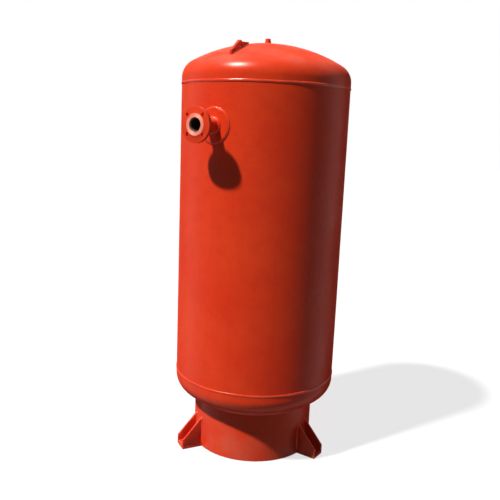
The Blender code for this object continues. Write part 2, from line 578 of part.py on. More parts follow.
def make_valve(line_height, finishes):
    """A half-inch ball valve with its spindle up. The flow runs along +Y, and the ball is closed."""
    brass, chrome, seal = finishes["brass"], finishes["chrome"], finishes["seal"]
    centre = Matrix.Translation((0, VALVE_DISTANCE, line_height))
    along_flow = centre @ Matrix.Rotation(-math.pi / 2, 4, "X")
    port = VALVE_PORT / 2 + SEAT_PORT_STEP
    thread_end = VALVE_HALF_LENGTH - THREAD_ENGAGEMENT
    chamber = CHAMBER_DIAMETER / 2
    seat_stop = SEAT_FAR + CLEARANCE

    body = put_in_scene(
        "valve_body", hexagon(VALVE_HEX, -VALVE_HALF_LENGTH, -VALVE_SPLIT + 0.001), brass, along_flow
    )
    barrel = rod(VALVE_BODY_DIAMETER / 2, -VALVE_SPLIT, VALVE_SPLIT, SMALL_FACETS)
    boolean(body, "UNION", helper_object("valve_barrel", barrel, along_flow))
    boolean(body, "UNION", helper_object("valve_boss", rod(BOSS_DIAMETER / 2, 0, BOSS_TOP, FITTING_FACETS), centre))
    passage = lathe(
        [
            (0, -VALVE_HALF_LENGTH - 0.01),
            (THREADED_BORE, -VALVE_HALF_LENGTH - 0.01),
            (THREADED_BORE, -thread_end),
            (port, -thread_end),
            (port, -seat_stop),
            (chamber, -seat_stop),
            (chamber, VALVE_SPLIT + 0.01),
            (0, VALVE_SPLIT + 0.01),
        ],
        FITTING_FACETS,
        closed=False,
    )
    boolean(body, "DIFFERENCE", helper_object("valve_passage", passage, along_flow))
    stem_hole = STEM_DIAMETER / 2 + CLEARANCE
    collar_hole = STEM_COLLAR / 2 + CLEARANCE
    pocket = PACKING_DIAMETER / 2 + CLEARANCE
    pocket_floor = STEM_COLLAR_TOP + CLEARANCE + 0.0015
    stem_space = lathe(
        [
            (0, 0),
            (collar_hole, 0),
            (collar_hole, STEM_COLLAR_TOP + CLEARANCE),
            (stem_hole, STEM_COLLAR_TOP + CLEARANCE),
            (stem_hole, pocket_floor),
            (pocket, pocket_floor),
            (pocket, BOSS_TOP + 0.01),
            (0, BOSS_TOP + 0.01),
        ],
        FITTING_FACETS,
        closed=False,
    )
    boolean(body, "DIFFERENCE", helper_object("valve_stem_space", stem_space, centre))

    nose = chamber - CLEARANCE
    end_profile = [
        (port, seat_stop),
        (nose, seat_stop),
        (nose, VALVE_SPLIT + 0.002),
        (THREADED_BORE + 0.001, VALVE_SPLIT + 0.002),
        (THREADED_BORE + 0.001, VALVE_HALF_LENGTH),
        (THREADED_BORE, VALVE_HALF_LENGTH),
        (THREADED_BORE, thread_end),
        (port, thread_end),
    ]
    valve_end = put_in_scene("valve_end_cap", lathe(end_profile, FITTING_FACETS), brass, along_flow)
    end_hex = hexagon(VALVE_HEX, VALVE_SPLIT + CLEARANCE, VALVE_HALF_LENGTH)
    end_hex_cap = helper_object("valve_end_hex", end_hex, along_flow)
    end_bore = rod(THREADED_BORE + 0.0005, 0, VALVE_HALF_LENGTH + 0.01, FITTING_FACETS)
    boolean(end_hex_cap, "DIFFERENCE", helper_object("valve_end_bore", end_bore, along_flow))
    boolean(valve_end, "UNION", end_hex_cap)

    seat_outer = chamber - CLEARANCE
    ball_radius = BALL_DIAMETER / 2
    lip = ball_radius + CLEARANCE + 0.0002
    near_radius = math.sqrt(lip**2 - SEAT_NEAR**2)
    far_height = math.sqrt(lip**2 - port**2)
    seat = [(port, SEAT_FAR), (seat_outer, SEAT_FAR), (seat_outer, SEAT_NEAR), (near_radius, SEAT_NEAR)]
    seat.append((port, far_height))
    for name, way in (("valve_seat_in", -1), ("valve_seat_out", 1)):
        ring = lathe([(radius, way * height) for radius, height in seat], FITTING_FACETS)
        put_in_scene(name, ring, seal, along_flow)

    across_flow = centre @ Matrix.Rotation(math.pi / 2, 4, "Y")
    port_rim = math.degrees(math.acos(VALVE_PORT / 2 / ball_radius))
    bored_ball = lathe(arc((0, 0), ball_radius, -port_rim, port_rim, 8), FITTING_FACETS)
    ball = put_in_scene("valve_ball", bored_ball, chrome, across_flow)
    tang_floor = ball_radius - TANG_DEPTH
    slot_half = TANG_WIDTH / 2 + CLEARANCE
    slot = block((-slot_half, -0.02, tang_floor), (slot_half, 0.02, 0.02))
    boolean(ball, "DIFFERENCE", helper_object("valve_ball_slot", slot, centre))
    return centre, pocket_floor, tang_floor


def make_valve_spindle(centre, pocket_floor, tang_floor, finishes):
    """The stem, its packing and gland, and the lever that turns it."""
    brass, zinc = finishes["brass"], finishes["zinc"]
    stem_radius = STEM_DIAMETER / 2
    stem_hole = stem_radius + CLEARANCE
    collar_floor = BALL_DIAMETER / 2 + CLEARANCE
    packing_top = pocket_floor + CLEARANCE + PACKING_HEIGHT
    gland_top = BOSS_TOP + CLEARANCE + GLAND_HEAD
    lever_floor = gland_top + CLEARANCE
    lever_top = lever_floor + LEVER_STRIP
    nut_floor = lever_top + CLEARANCE
    nut_top = nut_floor + LEVER_NUT_HEIGHT

    stem_profile = [
        (0, collar_floor),
        (STEM_COLLAR / 2, collar_floor),
        (STEM_COLLAR / 2, STEM_COLLAR_TOP),
        (stem_radius, STEM_COLLAR_TOP),
        (stem_radius, gland_top),
        (STUD_DIAMETER / 2, gland_top),
        (STUD_DIAMETER / 2, nut_top + 0.001),
        (0, nut_top + 0.001),
    ]
    stem = put_in_scene("valve_stem", lathe(stem_profile, FITTING_FACETS, closed=False), brass, centre)
    half_tang = TANG_WIDTH / 2
    tang = block(
        (-half_tang, -TANG_LENGTH / 2, tang_floor + CLEARANCE), (half_tang, TANG_LENGTH / 2, collar_floor + 0.001)
    )
    boolean(stem, "UNION", helper_object("valve_stem_tang", tang, centre))
    half_square = STEM_SQUARE / 2
    square = block((-half_square, -half_square, gland_top - 0.001), (half_square, half_square, lever_top))
    boolean(stem, "UNION", helper_object("valve_stem_square", square, centre))

    packing = tube(stem_hole, PACKING_DIAMETER / 2, pocket_floor + CLEARANCE, packing_top, FITTING_FACETS)
    put_in_scene("valve_packing", packing, finishes["seal"], centre)
    gland = put_in_scene(
        "valve_gland_nut", tube(stem_hole, PACKING_DIAMETER / 2, packing_top + CLEARANCE, gland_top, FITTING_FACETS),
        brass, centre,
    )
    gland_head = helper_object("valve_gland_head", hexagon(GLAND_HEX, BOSS_TOP + CLEARANCE, gland_top), centre)
    gland_bore = helper_object("valve_gland_bore", rod(stem_hole + 0.0005, 0, gland_top + 0.01, FITTING_FACETS), centre)
    boolean(gland_head, "DIFFERENCE", gland_bore)
    boolean(gland, "UNION", gland_head)

    hub_reach = LEVER_WIDTH / 2
    slope_start, slope_end = 0.018, 0.032
    strip = [
        (-hub_reach, lever_floor),
        (slope_start, lever_floor),
        (slope_end, lever_floor + LEVER_RISE),
        (LEVER_LENGTH, lever_floor + LEVER_RISE),
        (LEVER_LENGTH, lever_top + LEVER_RISE),
        (slope_end - 0.001, lever_top + LEVER_RISE),
        (slope_start - 0.001, lever_top),
        (-hub_reach, lever_top),
    ]
    lever = put_in_scene("valve_lever", plate(strip, LEVER_WIDTH), zinc, centre)
    half_hole = half_square + CLEARANCE
    square_hole = block((-half_hole, -half_hole, lever_floor - 0.01), (half_hole, half_hole, lever_top + 0.01))
    boolean(lever, "DIFFERENCE", helper_object("valve_lever_hole", square_hole, centre))

    nut = put_in_scene("valve_lever_nut", hexagon(LEVER_NUT_HEX, nut_floor, nut_top), zinc, centre)
    nut_bore = rod(STUD_DIAMETER / 2 + CLEARANCE, 0, nut_top + 0.01, FITTING_FACETS)
    boolean(nut, "DIFFERENCE", helper_object("valve_lever_nut_bore", nut_bore, centre))

    pocket_end = LEVER_LENGTH + CLEARANCE
    sleeve_start = pocket_end - SLEEVE_LENGTH
    half_width = LEVER_WIDTH / 2 + CLEARANCE
    floor, ceiling = lever_floor + LEVER_RISE - CLEARANCE, lever_top + LEVER_RISE + CLEARANCE
    outer = block(
        (sleeve_start, -half_width - SLEEVE_WALL, floor - SLEEVE_WALL),
        (pocket_end + SLEEVE_WALL, half_width + SLEEVE_WALL, ceiling + SLEEVE_WALL),
    )
    long_edges = [edge for edge in outer.edges if abs(edge.verts[0].co.x - edge.verts[1].co.x) > SLEEVE_LENGTH / 2]
    bmesh.ops.bevel(outer, geom=long_edges, offset=0.0018, segments=1, profile=0.5, affect="EDGES", material=-1)
    sleeve = put_in_scene("valve_lever_sleeve", outer, finishes["grip"], centre)
    hollow = block((sleeve_start - 0.01, -half_width, floor), (pocket_end, half_width, ceiling))
    boolean(sleeve, "DIFFERENCE", helper_object("valve_sleeve_pocket", hollow, centre))


# ---------------------------------------------------------------- the whole tank
def main():
    for leftover in list(bpy.data.objects):
        bpy.data.objects.remove(leftover)
    finishes = make_materials()
    paint, weld_paint = finishes["tank_paint"], finishes["weld_paint"]
    make_shell(paint)
    make_heads(paint)
    make_seam_welds(weld_paint)
    make_skirt(paint, weld_paint)
    make_feet(paint)
    make_nozzle("outlet", 0, OUTLET_HEIGHT, paint, weld_paint)
    make_nozzle("inlet", 180, INLET_HEIGHT, paint, weld_paint)
    make_lugs(paint)
    make_top_plug(make_coupling("top", 1, top_head_at, paint, weld_paint), paint)
    line_height = make_drain_pipes(make_coupling("drain", -1, bottom_head_at, paint, weld_paint), finishes["zinc"])
    make_valve_spindle(*make_valve(line_height, finishes), finishes)


main()
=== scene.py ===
# %% [markdown]
# # An upright air receiver
# A compressor fills this steel tank with air, and tools draw from it. It is rolled plate and two dished
# heads, welded together and sprayed red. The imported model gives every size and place, and this file adds
# rounded edges, rippled weld beads and finishes on top of it.

# %% The fixed frame
import math

import bmesh
import bpy
from mathutils import Matrix, Vector


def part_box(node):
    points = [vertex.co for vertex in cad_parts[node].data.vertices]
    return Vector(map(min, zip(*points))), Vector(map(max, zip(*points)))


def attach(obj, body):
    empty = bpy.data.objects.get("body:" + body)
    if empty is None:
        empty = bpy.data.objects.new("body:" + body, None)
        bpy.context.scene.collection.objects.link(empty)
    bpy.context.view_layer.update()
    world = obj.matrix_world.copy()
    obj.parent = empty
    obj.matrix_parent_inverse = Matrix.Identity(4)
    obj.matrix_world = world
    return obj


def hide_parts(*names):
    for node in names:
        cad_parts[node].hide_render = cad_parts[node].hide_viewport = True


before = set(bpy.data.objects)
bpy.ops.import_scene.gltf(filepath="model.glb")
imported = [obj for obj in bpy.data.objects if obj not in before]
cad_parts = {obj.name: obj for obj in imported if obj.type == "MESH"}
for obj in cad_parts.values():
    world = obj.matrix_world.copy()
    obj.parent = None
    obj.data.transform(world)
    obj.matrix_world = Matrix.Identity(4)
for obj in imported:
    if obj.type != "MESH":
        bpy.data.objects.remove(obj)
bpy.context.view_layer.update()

# %% [markdown]
# ## Camera
# Someone stands three metres away, to the right of the outlet, and holds the camera at eye level. It tilts
# down by eleven degrees and leans by two. Each turn is one rotation matrix, and they multiply from the tank's
# axis outwards.

# %% Camera
VIEW_TURN = math.radians(33)  # about the tank, from the outlet's side
VIEW_DISTANCE = 3.108  # metres from the tank's axis
EYE_HEIGHT = 1.583
LOOK_DOWN = 0.1908  # radians, as the next two
LOOK_LEFT = 0.0147
LEAN = 0.0402
LENS = 45.5  # millimetres

camera = bpy.data.objects.new("camera", bpy.data.cameras.new("camera"))
camera.data.lens = LENS
camera.matrix_world = (
    Matrix.Rotation(VIEW_TURN, 4, "Z")
    @ Matrix.Translation((0, -VIEW_DISTANCE, EYE_HEIGHT))
    @ Matrix.Rotation(LOOK_LEFT, 4, "Z")
    @ Matrix.Rotation(math.pi / 2 - LOOK_DOWN, 4, "X")
    @ Matrix.Rotation(LEAN, 4, "Z")
)
bpy.context.scene.collection.objects.link(camera)
bpy.context.scene.camera = camera

# %% [markdown]
# ## Light
# One strong lamp from high on the left shapes the cylinder and drops the flange's shadow on the shell. It is
# small, so its glint on the enamel is small too, and a wide glow from the same direction, which lights no
# surface and is seen in the gloss only, spreads that glint as a hazy sky does. A softer lamp lights the back,
# square to the camera's line, so that it never reaches the side that the camera sees, and a faint one on the
# right keeps the dark side readable. Those two give no glints, because they stand in for a bright room and
# not for a lamp. A Sun lamp of strength pi shows a colour about as it is written on a face that is square to
# it, and the key lamp meets the upright wall at a slant.

# %% Lamps
bpy.context.scene.view_settings.view_transform = "Standard"


def lamp(name, travel, strength, spread, lights=True, glints=True):
    """A Sun lamp: its rays go along travel, and spread degrees soften its shadows and its glints."""
    light = bpy.data.lights.new(name, "SUN")
    light.energy = strength
    light.angle = math.radians(spread)
    holder = bpy.data.objects.new(name, light)
    holder.rotation_euler = Vector(travel).to_track_quat("-Z", "Y").to_euler()
    holder.visible_diffuse = lights
    holder.visible_glossy = glints
    bpy.context.scene.collection.objects.link(holder)


KEY_TRAVEL = (0.225, 0.545, -0.808)
lamp("key_lamp", KEY_TRAVEL, 4.8, 3)
lamp("key_glow", KEY_TRAVEL, 6.0, 14, lights=False)
lamp("rear_lamp", (0.545, -0.839, -0.45), 1.9, 25, glints=False)
lamp("right_fill", (-0.85, -0.39, -0.37), 0.07, 40, glints=False)


# %% [markdown]
# ## Shader maths as Python
# A material is a graph, and long graphs are hard to read as code. One small class holds an output socket and
# turns + - * into Math nodes. Another adds any node from its type, its settings and its sockets.

# %% Socket arithmetic
class Value:
    """A node's output. Arithmetic on it adds Math nodes."""

    def __init__(self, graph, socket):
        self.graph = graph
        self.socket = socket

    def work(self, operation, *values, clamp=False):
        settings = {"operation": operation, "use_clamp": clamp}
        return self.graph.add("ShaderNodeMath", settings, dict(enumerate(values)))

    def __add__(self, other):
        return self.work("ADD", self, other)

    def __radd__(self, other):
        return self.work("ADD", other, self)

    def __sub__(self, other):
        return self.work("SUBTRACT", self, other)

    def __rsub__(self, other):
        return self.work("SUBTRACT", other, self)

    def __mul__(self, other):
        return self.work("MULTIPLY", self, other)

    def __rmul__(self, other):
        return self.work("MULTIPLY", other, self)

    def clamped(self):
        return self.work("ADD", self, 0.0, clamp=True)


class Graph:
    """A node tree that is written as expressions."""

    def __init__(self, tree):
        self.tree = tree

    def add(self, kind, settings, sockets, output=0):
        """Adds a node: settings first, then a value or a link for each socket."""
        node = self.tree.nodes.new(kind)
        for setting, value in settings.items():
            setattr(node, setting, value)
        for socket, value in sockets.items():
            self.feed(node.inputs[socket], value)
        return Value(self, node.outputs[output])

    def feed(self, target, value):
        if isinstance(value, Value):
            self.tree.links.new(value.socket, target)
        else:
            target.default_value = value


# %% [markdown]
# ## Floor and background
# The floor is pale and keeps the tank's shadow. To a viewer, a mirror or a piece of glass it glows a little,
# and so does the world, so the background stays white with no extra light on the paint. Every other ray
# finds a dim grey room. The floor inside the skirt doesn't glow, or it would shine out of the hand hole.

# %% World and floor
ROOM_LIGHT = 0.06  # what the paint gets from the room
FLOOR_SIZE = 30.0  # metres from the middle to each side
FLOOR_GAP = 0.0005  # keeps the floor from touching the feet's undersides
FLOOR_DIM, FLOOR_PALE = 0.07, 0.80
FLOOR_GLOW = 0.72
GLOW_STARTS = (0.298, 0.304)  # metres from the tank's axis, round the foot of the skirt


def seen_directly(graph):
    """1 for rays that show a background: from the eye, off gloss, or through glass."""
    eye = graph.add("ShaderNodeLightPath", {}, {}, "Is Camera Ray")
    gloss = graph.add("ShaderNodeLightPath", {}, {}, "Is Glossy Ray")
    glass = graph.add("ShaderNodeLightPath", {}, {}, "Is Transmission Ray")
    return (eye + gloss + glass).clamped()


def make_world():
    world = bpy.data.worlds.new("room")
    world.use_nodes = True
    bpy.context.scene.world = world
    graph = Graph(world.node_tree)
    background = world.node_tree.nodes["Background"]
    background.inputs["Color"].default_value = (1, 1, 1, 1)
    strength = seen_directly(graph) * (1 - ROOM_LIGHT) + ROOM_LIGHT
    graph.feed(background.inputs["Strength"], strength)


def make_floor():
    shape = bmesh.new()
    bmesh.ops.create_grid(shape, x_segments=1, y_segments=1, size=FLOOR_SIZE)
    mesh = bpy.data.meshes.new("floor")
    shape.to_mesh(mesh)
    shape.free()
    floor = bpy.data.objects.new("floor", mesh)
    floor.location.z = -FLOOR_GAP
    bpy.context.scene.collection.objects.link(floor)
    paint = bpy.data.materials.new("floor")
    paint.use_nodes = True
    graph = Graph(paint.node_tree)
    shader = paint.node_tree.nodes["Principled BSDF"]
    brightness = FLOOR_DIM + seen_directly(graph) * (FLOOR_PALE - FLOOR_DIM)
    grey = graph.add("ShaderNodeCombineColor", {}, dict.fromkeys(range(3), brightness))
    graph.feed(shader.inputs["Base Color"], grey)
    shader.inputs["Roughness"].default_value = 0.9
    shader.inputs["Specular IOR Level"].default_value = 0.0
    glow = graph.add("ShaderNodeEmission", {}, {"Color": (1, 1, 1, 1), "Strength": 1.0})
    place = graph.add("ShaderNodeNewGeometry", {}, {}, "Position")
    reach = graph.add("ShaderNodeVectorMath", {"operation": "LENGTH"}, {0: place}, "Value")
    inner, outer = GLOW_STARTS
    outside = graph.add("ShaderNodeMapRange", {}, {"Value": reach, "From Min": inner, "From Max": outer})
    mixed = graph.add("ShaderNodeMixShader", {}, {0: seen_directly(graph) * outside * FLOOR_GLOW})
    graph.tree.links.new(shader.outputs[0], mixed.socket.node.inputs[1])
    graph.tree.links.new(glow.socket, mixed.socket.node.inputs[2])
    graph.tree.links.new(mixed.socket, paint.node_tree.nodes["Material Output"].inputs[0])
    mesh.materials.append(paint)


make_world()
make_floor()

# %% [markdown]
# ## Finishes
# Every finish is a Principled shader whose colour, roughness and bump vary. The patterns are noises read in
# the piece's own space in metres, so a scale of 100 makes spots of about a centimetre. What belongs to one
# place on a piece, such as a worn edge, reads a point attribute that the modelling helpers below write.


# %% The paint kit
class Finish(Graph):
    """A Principled material with helpers for noise, masks and colour mixing."""

    def __init__(self, name, **sockets):
        self.material = bpy.data.materials.new(name)
        self.material.use_nodes = True
        super().__init__(self.material.node_tree)
        self.shader = self.tree.nodes["Principled BSDF"]
        for socket, value in sockets.items():
            self.set(socket.replace("_", " "), value)

    def set(self, socket, value):
        self.feed(self.shader.inputs[socket], value)

    def noise(self, scale, stretch=(1, 1, 1), detail=3.0, roughness=0.5):
        place = self.add("ShaderNodeTexCoord", {}, {}, "Object")
        place = self.add("ShaderNodeMapping", {}, {"Vector": place, "Scale": stretch})
        sockets = {"Vector": place, "Scale": scale, "Detail": detail, "Roughness": roughness}
        return self.add("ShaderNodeTexNoise", {}, sockets, "Fac")

    def mask(self, value, start, end):
        """A soft step from 0 at start to 1 at end."""
        sockets = {"Value": value, "From Min": start, "From Max": end, "To Min": 0.0, "To Max": 1.0}
        return self.add("ShaderNodeMapRange", {"interpolation_type": "SMOOTHSTEP"}, sockets)

    def mix(self, amount, colour, other):
        colours = [c if isinstance(c, Value) else (*c, 1.0) for c in (colour, other)]
        settings = {"data_type": "RGBA", "blend_type": "MIX"}
        return self.add("ShaderNodeMix", settings, {0: amount, 6: colours[0], 7: colours[1]}, 2)

    def height(self):
        """Height above the floor, in metres."""
        place = self.add("ShaderNodeTexCoord", {}, {}, "Object")
        return self.add("ShaderNodeSeparateXYZ", {}, {"Vector": place}, "Z")

    def facing_up(self):
        normal = self.add("ShaderNodeNewGeometry", {}, {}, "Normal")
        return self.add("ShaderNodeSeparateXYZ", {}, {"Vector": normal}, "Z")

    def mark(self, name):
        """A point attribute that the modelling helpers write, from 0 to 1."""
        return self.add("ShaderNodeAttribute", {"attribute_name": name}, {}, "Fac")

    def bump(self, relief, depth):
        """Relief from 0 to 1 becomes depth metres of bump."""
        sockets = {"Height": relief, "Distance": depth, "Strength": 1.0}
        self.set("Normal", self.add("ShaderNodeBump", {}, sockets))


# %% [markdown]
# ### Red enamel
# Semi-gloss enamel is not one red: the coat is thin and orange in places and thick and deep in others, dust
# lies on what faces up and near the floor, and edges rub through to grey primer. The fine bump is the
# spray's orange peel. Seen along the surface the coat turns rougher, because an old enamel reflects a bright
# room as a haze and not as a mirror. Two more attributes change it: a flange's sealing face is bare metal
# with a haze of overspray, and the inside of the tank and of its pipes is dark steel as it was rolled. That
# steel is painted near black, so it is also a painted shade inside the tank and in the bores.

# %% Enamel
ENAMEL = (0.74, 0.038, 0.008)
ENAMEL_THIN = (0.80, 0.060, 0.013)
ENAMEL_DEEP = (0.58, 0.026, 0.008)
DUST = (0.56, 0.30, 0.22)
PRIMER = (0.20, 0.17, 0.16)
MACHINED = (0.80, 0.29, 0.21)
# near-black rolled steel, which is also a painted shade inside the tank and in the bores
MILL_SCALE_AND_SHADE = (0.030, 0.024, 0.022)
SPLASH_HEIGHT = 0.42  # dust and dirt from the floor reach this far up
FLOOR_DUST, TOP_DUST = 0.20, 0.30
GRAZING_HAZE = 0.55  # roughness gained when the surface is seen from the side


def enamel(name, peel, peel_depth, grime, roughness, gloss, tint):
    """Red enamel: peel is the orange peel's scale, and grime how much deeper the dirt makes its clouds."""
    coat = Finish(name, Specular_IOR_Level=gloss, Specular_Tint=tint)
    patches = coat.mask(coat.noise(3.1, detail=4.0), 0.35, 0.68)
    clouds = coat.mask(coat.noise(17.0, detail=5.0, roughness=0.6), 0.42, 0.72)
    colour = coat.mix(patches * 0.55, ENAMEL, ENAMEL_THIN)
    colour = coat.mix(clouds * (0.28 + grime), colour, ENAMEL_DEEP)
    streaks = coat.mask(coat.noise(34.0, stretch=(1, 1, 0.04), detail=3.0), 0.56, 0.74)
    colour = coat.mix(streaks * 0.16, colour, ENAMEL_DEEP)
    near_floor = 1 - coat.mask(coat.height(), 0.02, SPLASH_HEIGHT)
    settles = coat.mask(coat.facing_up(), 0.35, 0.98)
    speckle = coat.mask(coat.noise(210.0, detail=2.0), 0.40, 0.66)
    film = coat.mask(coat.noise(9.0, detail=4.0), 0.30, 0.75)
    dust = ((near_floor * FLOOR_DUST + settles * TOP_DUST) * film * (0.62 + speckle * 0.38)).clamped()
    colour = coat.mix(dust, colour, DUST)
    chipped = coat.mask(coat.noise(120.0, detail=3.0) + coat.noise(14.0) * 0.6, 0.87, 0.94)
    worn = (coat.mask(coat.mark("edge"), 0.55, 0.95) * chipped).clamped()
    colour = coat.mix(worn, colour, PRIMER)
    bare = coat.mark("bare") * (0.72 + film * 0.28)
    inside = coat.mark("inside")
    colour = coat.mix(bare, colour, MACHINED)
    # the inside takes the near-black steel: its own colour, and also a painted shade in the bore
    coat.set("Base Color", coat.mix(inside, colour, MILL_SCALE_AND_SHADE))
    coat.set("Metallic", bare * 0.45)
    smears = coat.mask(coat.noise(5.5, stretch=(1, 1, 0.5), detail=5.0, roughness=0.65), 0.35, 0.7)
    grazing = coat.mask(coat.add("ShaderNodeLayerWeight", {}, {"Blend": 0.5}, "Facing"), 0.30, 0.85)
    rough = roughness + grazing * GRAZING_HAZE + smears * 0.08 + dust * 0.45 + speckle * 0.03 + worn * 0.3
    coat.set("Roughness", rough + bare * 0.08 + inside * 0.35)
    relief = coat.noise(peel, detail=1.5) * 0.6 + coat.noise(peel * 0.22, detail=2.0) * 0.4
    coat.bump(relief - worn * 0.3, peel_depth)
    return coat.material


tank_paint = enamel(
    "tank_enamel", peel=420.0, peel_depth=0.00015, grime=0.0,
    roughness=0.25, gloss=0.26, tint=(1.0, 0.44, 0.36, 1.0),
)
weld_paint = enamel(
    "weld_enamel", peel=650.0, peel_depth=0.00016, grime=0.15,
    roughness=0.17, gloss=0.42, tint=(1.0, 0.58, 0.50, 1.0),
)

# %% [markdown]
# ### Metals and plastics on the drain line
# The pipe fittings are zinc plated and dull, with a crystalline sparkle. The valve is machined brass with
# fine turning marks, its ball is chrome, its seals are white plastic and the lever's sleeve is red vinyl.


# %% Small finishes
def metal(name, colour, tarnish, roughness, grain_scale, depth, stretch=(1, 1, 1)):
    """A metal with tarnish in clouds and fine grain along one direction."""
    finish = Finish(name, Metallic=1.0)
    clouds = finish.mask(finish.noise(60.0, detail=5.0, roughness=0.6), 0.38, 0.7)
    grain = finish.noise(grain_scale, stretch=stretch, detail=2.0)
    finish.set("Base Color", finish.mix(clouds * 0.6, colour, tarnish))
    finish.set("Roughness", roughness + clouds * 0.16 + grain * 0.10)
    finish.bump(grain, depth)
    return finish.material


def plastic(name, colour, other, roughness, depth):
    finish = Finish(name)
    scuffs = finish.mask(finish.noise(90.0, detail=4.0), 0.45, 0.7)
    finish.set("Base Color", finish.mix(scuffs * 0.5, colour, other))
    finish.set("Roughness", roughness + scuffs * 0.15)
    finish.bump(finish.noise(1400.0, detail=2.0), depth)
    return finish.material


zinc = metal(
    "zinc_plate", (0.60, 0.61, 0.62), (0.36, 0.36, 0.35), roughness=0.30, grain_scale=900.0, depth=0.00006
)
brass = metal(
    "machined_brass", (0.74, 0.55, 0.26), (0.47, 0.33, 0.15),
    roughness=0.20, grain_scale=1500.0, depth=0.00003, stretch=(1, 0.1, 1),
)
chrome = metal(
    "chrome_plate", (0.80, 0.80, 0.81), (0.72, 0.72, 0.74), roughness=0.05, grain_scale=900.0, depth=0.00001
)
seal_plastic = plastic(
    "seal_plastic", (0.84, 0.84, 0.80), (0.70, 0.69, 0.63), roughness=0.35, depth=0.00003
)
grip_vinyl = plastic("grip_vinyl", (0.55, 0.025, 0.02), (0.34, 0.02, 0.018), roughness=0.42, depth=0.00012)
slot_paints = {
    "tank_paint": tank_paint,
    "weld_paint": weld_paint,
    "zinc": zinc,
    "brass": brass,
    "chrome": chrome,
    "seal": seal_plastic,
    "grip": grip_vinyl,
}

# %% [markdown]
# ## Modelling helpers
# Nearly everything here is turned or cut from plate. A lathe is one profile and one spin. A plate is a copy
# of its CAD node with its sharp edges eased, because real steel edges are never razor sharp and a rounded
# edge is what catches the light. Points carry their places in metres, so every object sits at the origin.


# %% Placing and finishing
def turned(degrees):
    """A turn about the tank's axis that takes -Y towards -X."""
    return Matrix.Rotation(-math.radians(degrees), 4, "Z")


def outward(degrees, height):
    """Local z points out from the tank at this turn, and local y points up."""
    facing_front = Matrix(((1, 0, 0, 0), (0, 0, -1, 0), (0, 1, 0, 0), (0, 0, 0, 1)))
    return turned(degrees) @ Matrix.Translation((0, 0, height)) @ facing_front


def show(name, shape, slot, stands_for=(), body="tank", place=None, sharp=38):
    """Makes a finished piece from a bmesh, places its points, and rides it on a body."""
    if place is not None:
        bmesh.ops.transform(shape, matrix=place, verts=shape.verts)
    mesh = bpy.data.meshes.new(name)
    shape.to_mesh(mesh)
    shape.free()
    mesh.shade_smooth()
    mesh.set_sharp_from_angle(angle=math.radians(sharp))
    mesh.materials.append(slot_paints[slot])
    piece = bpy.data.objects.new(name, mesh)
    bpy.context.scene.collection.objects.link(piece)
    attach(piece, body)
    if stands_for:
        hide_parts(*stands_for)
    print(name, len(mesh.polygons), "faces")


def lathe(profile, steps, closed=True):
    """Turns (radius, height) points about Z. An open profile starts and ends on the axis."""
    shape = bmesh.new()
    points = [shape.verts.new((radius, 0, height)) for radius, height in profile]
    ends = zip(points, points[1:] + points[:1] if closed else points[1:])
    edges = [shape.edges.new(pair) for pair in ends]
    around = dict(cent=(0, 0, 0), axis=(0, 0, 1), angle=math.tau, steps=steps, use_merge=True)
    bmesh.ops.spin(shape, geom=points + edges, **around)
    bmesh.ops.remove_doubles(shape, verts=shape.verts, dist=1e-6)
    bmesh.ops.recalc_face_normals(shape, faces=shape.faces)
    return shape


def arc(centre, radius, start, end, steps):
    """Points on an arc, both ends included, with its angles in degrees."""
    angles = [math.radians(start + (end - start) * i / steps) for i in range(steps + 1)]
    return [(centre[0] + radius * math.cos(a), centre[1] + radius * math.sin(a)) for a in angles]


def rod(radius, low, high, steps):
    """A plain cylinder, or a prism when steps is small."""
    return lathe([(0, low), (radius, low), (radius, high), (0, high)], steps, closed=False)


# %% [markdown]
# Easing marks the middle of each rounded edge in a point attribute called edge, and the enamel rubs through
# there. Other marks go by place. A Boolean is applied at once, so that a finished piece is a plain mesh with
# no cutter left behind.


# %% Edges, marks and Booleans
def ease(shape, width, segments=3, corner=25):
    """Rounds every edge sharper than corner degrees, and marks the rounds as edge."""
    mark = shape.verts.layers.float.get("edge") or shape.verts.layers.float.new("edge")
    limit = math.radians(corner)
    sharp = [e for e in shape.edges if e.is_manifold and e.calc_face_angle() > limit]
    made = bmesh.ops.bevel(
        shape, geom=sharp, offset=width, offset_type="OFFSET", segments=segments, profile=0.5,
        affect="EDGES", clamp_overlap=True, material=-1,
    )
    rounds = set(made["faces"])
    for point in made["verts"]:
        if all(face in rounds for face in point.link_faces):
            point[mark] = 1.0
    return shape


def marked(shape, name, test):
    """Writes 1 in a point attribute wherever test is true of a point's place, and 0 elsewhere."""
    layer = shape.verts.layers.float.new(name)
    for point in shape.verts:
        point[layer] = 1.0 if test(point.co) else 0.0
    return shape


def copied(node):
    """A CAD node's mesh as a bmesh, with its loose triangles merged into flat faces."""
    shape = bmesh.new()
    shape.from_mesh(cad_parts[node].data)
    bmesh.ops.remove_doubles(shape, verts=shape.verts, dist=2e-6)
    flat = dict(angle_limit=math.radians(0.5), use_dissolve_boundaries=False)
    bmesh.ops.dissolve_limit(shape, verts=shape.verts, edges=shape.edges, **flat)
    return shape


def combined(operation, shape, *others):
    """The Boolean of some bmeshes, as a new bmesh."""
    objects = []
    for part in (shape, *others):
        mesh = bpy.data.meshes.new("working")
        part.to_mesh(mesh)
        part.free()
        objects.append(bpy.data.objects.new("working", mesh))
        bpy.context.scene.collection.objects.link(objects[-1])
    for other in objects[1:]:
        step = objects[0].modifiers.new("step", "BOOLEAN")
        step.operation = operation
        step.object = other
        step.solver = "EXACT"
    graph = bpy.context.evaluated_depsgraph_get()
    result = bmesh.new()
    result.from_mesh(objects[0].evaluated_get(graph).to_mesh())
    for used in objects:
        bpy.data.meshes.remove(used.data)
    return result


# %% [markdown]
# ## Sizes from the frame
# The boxes of a few nodes give every outside size that the looks need. Only walls and curves are repeated
# here, because a box doesn't hold them.


# %% Sizes
def middle(node):
    """Height of a node's middle above the floor."""
    low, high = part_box(node)
    return (low.z + high.z) / 2


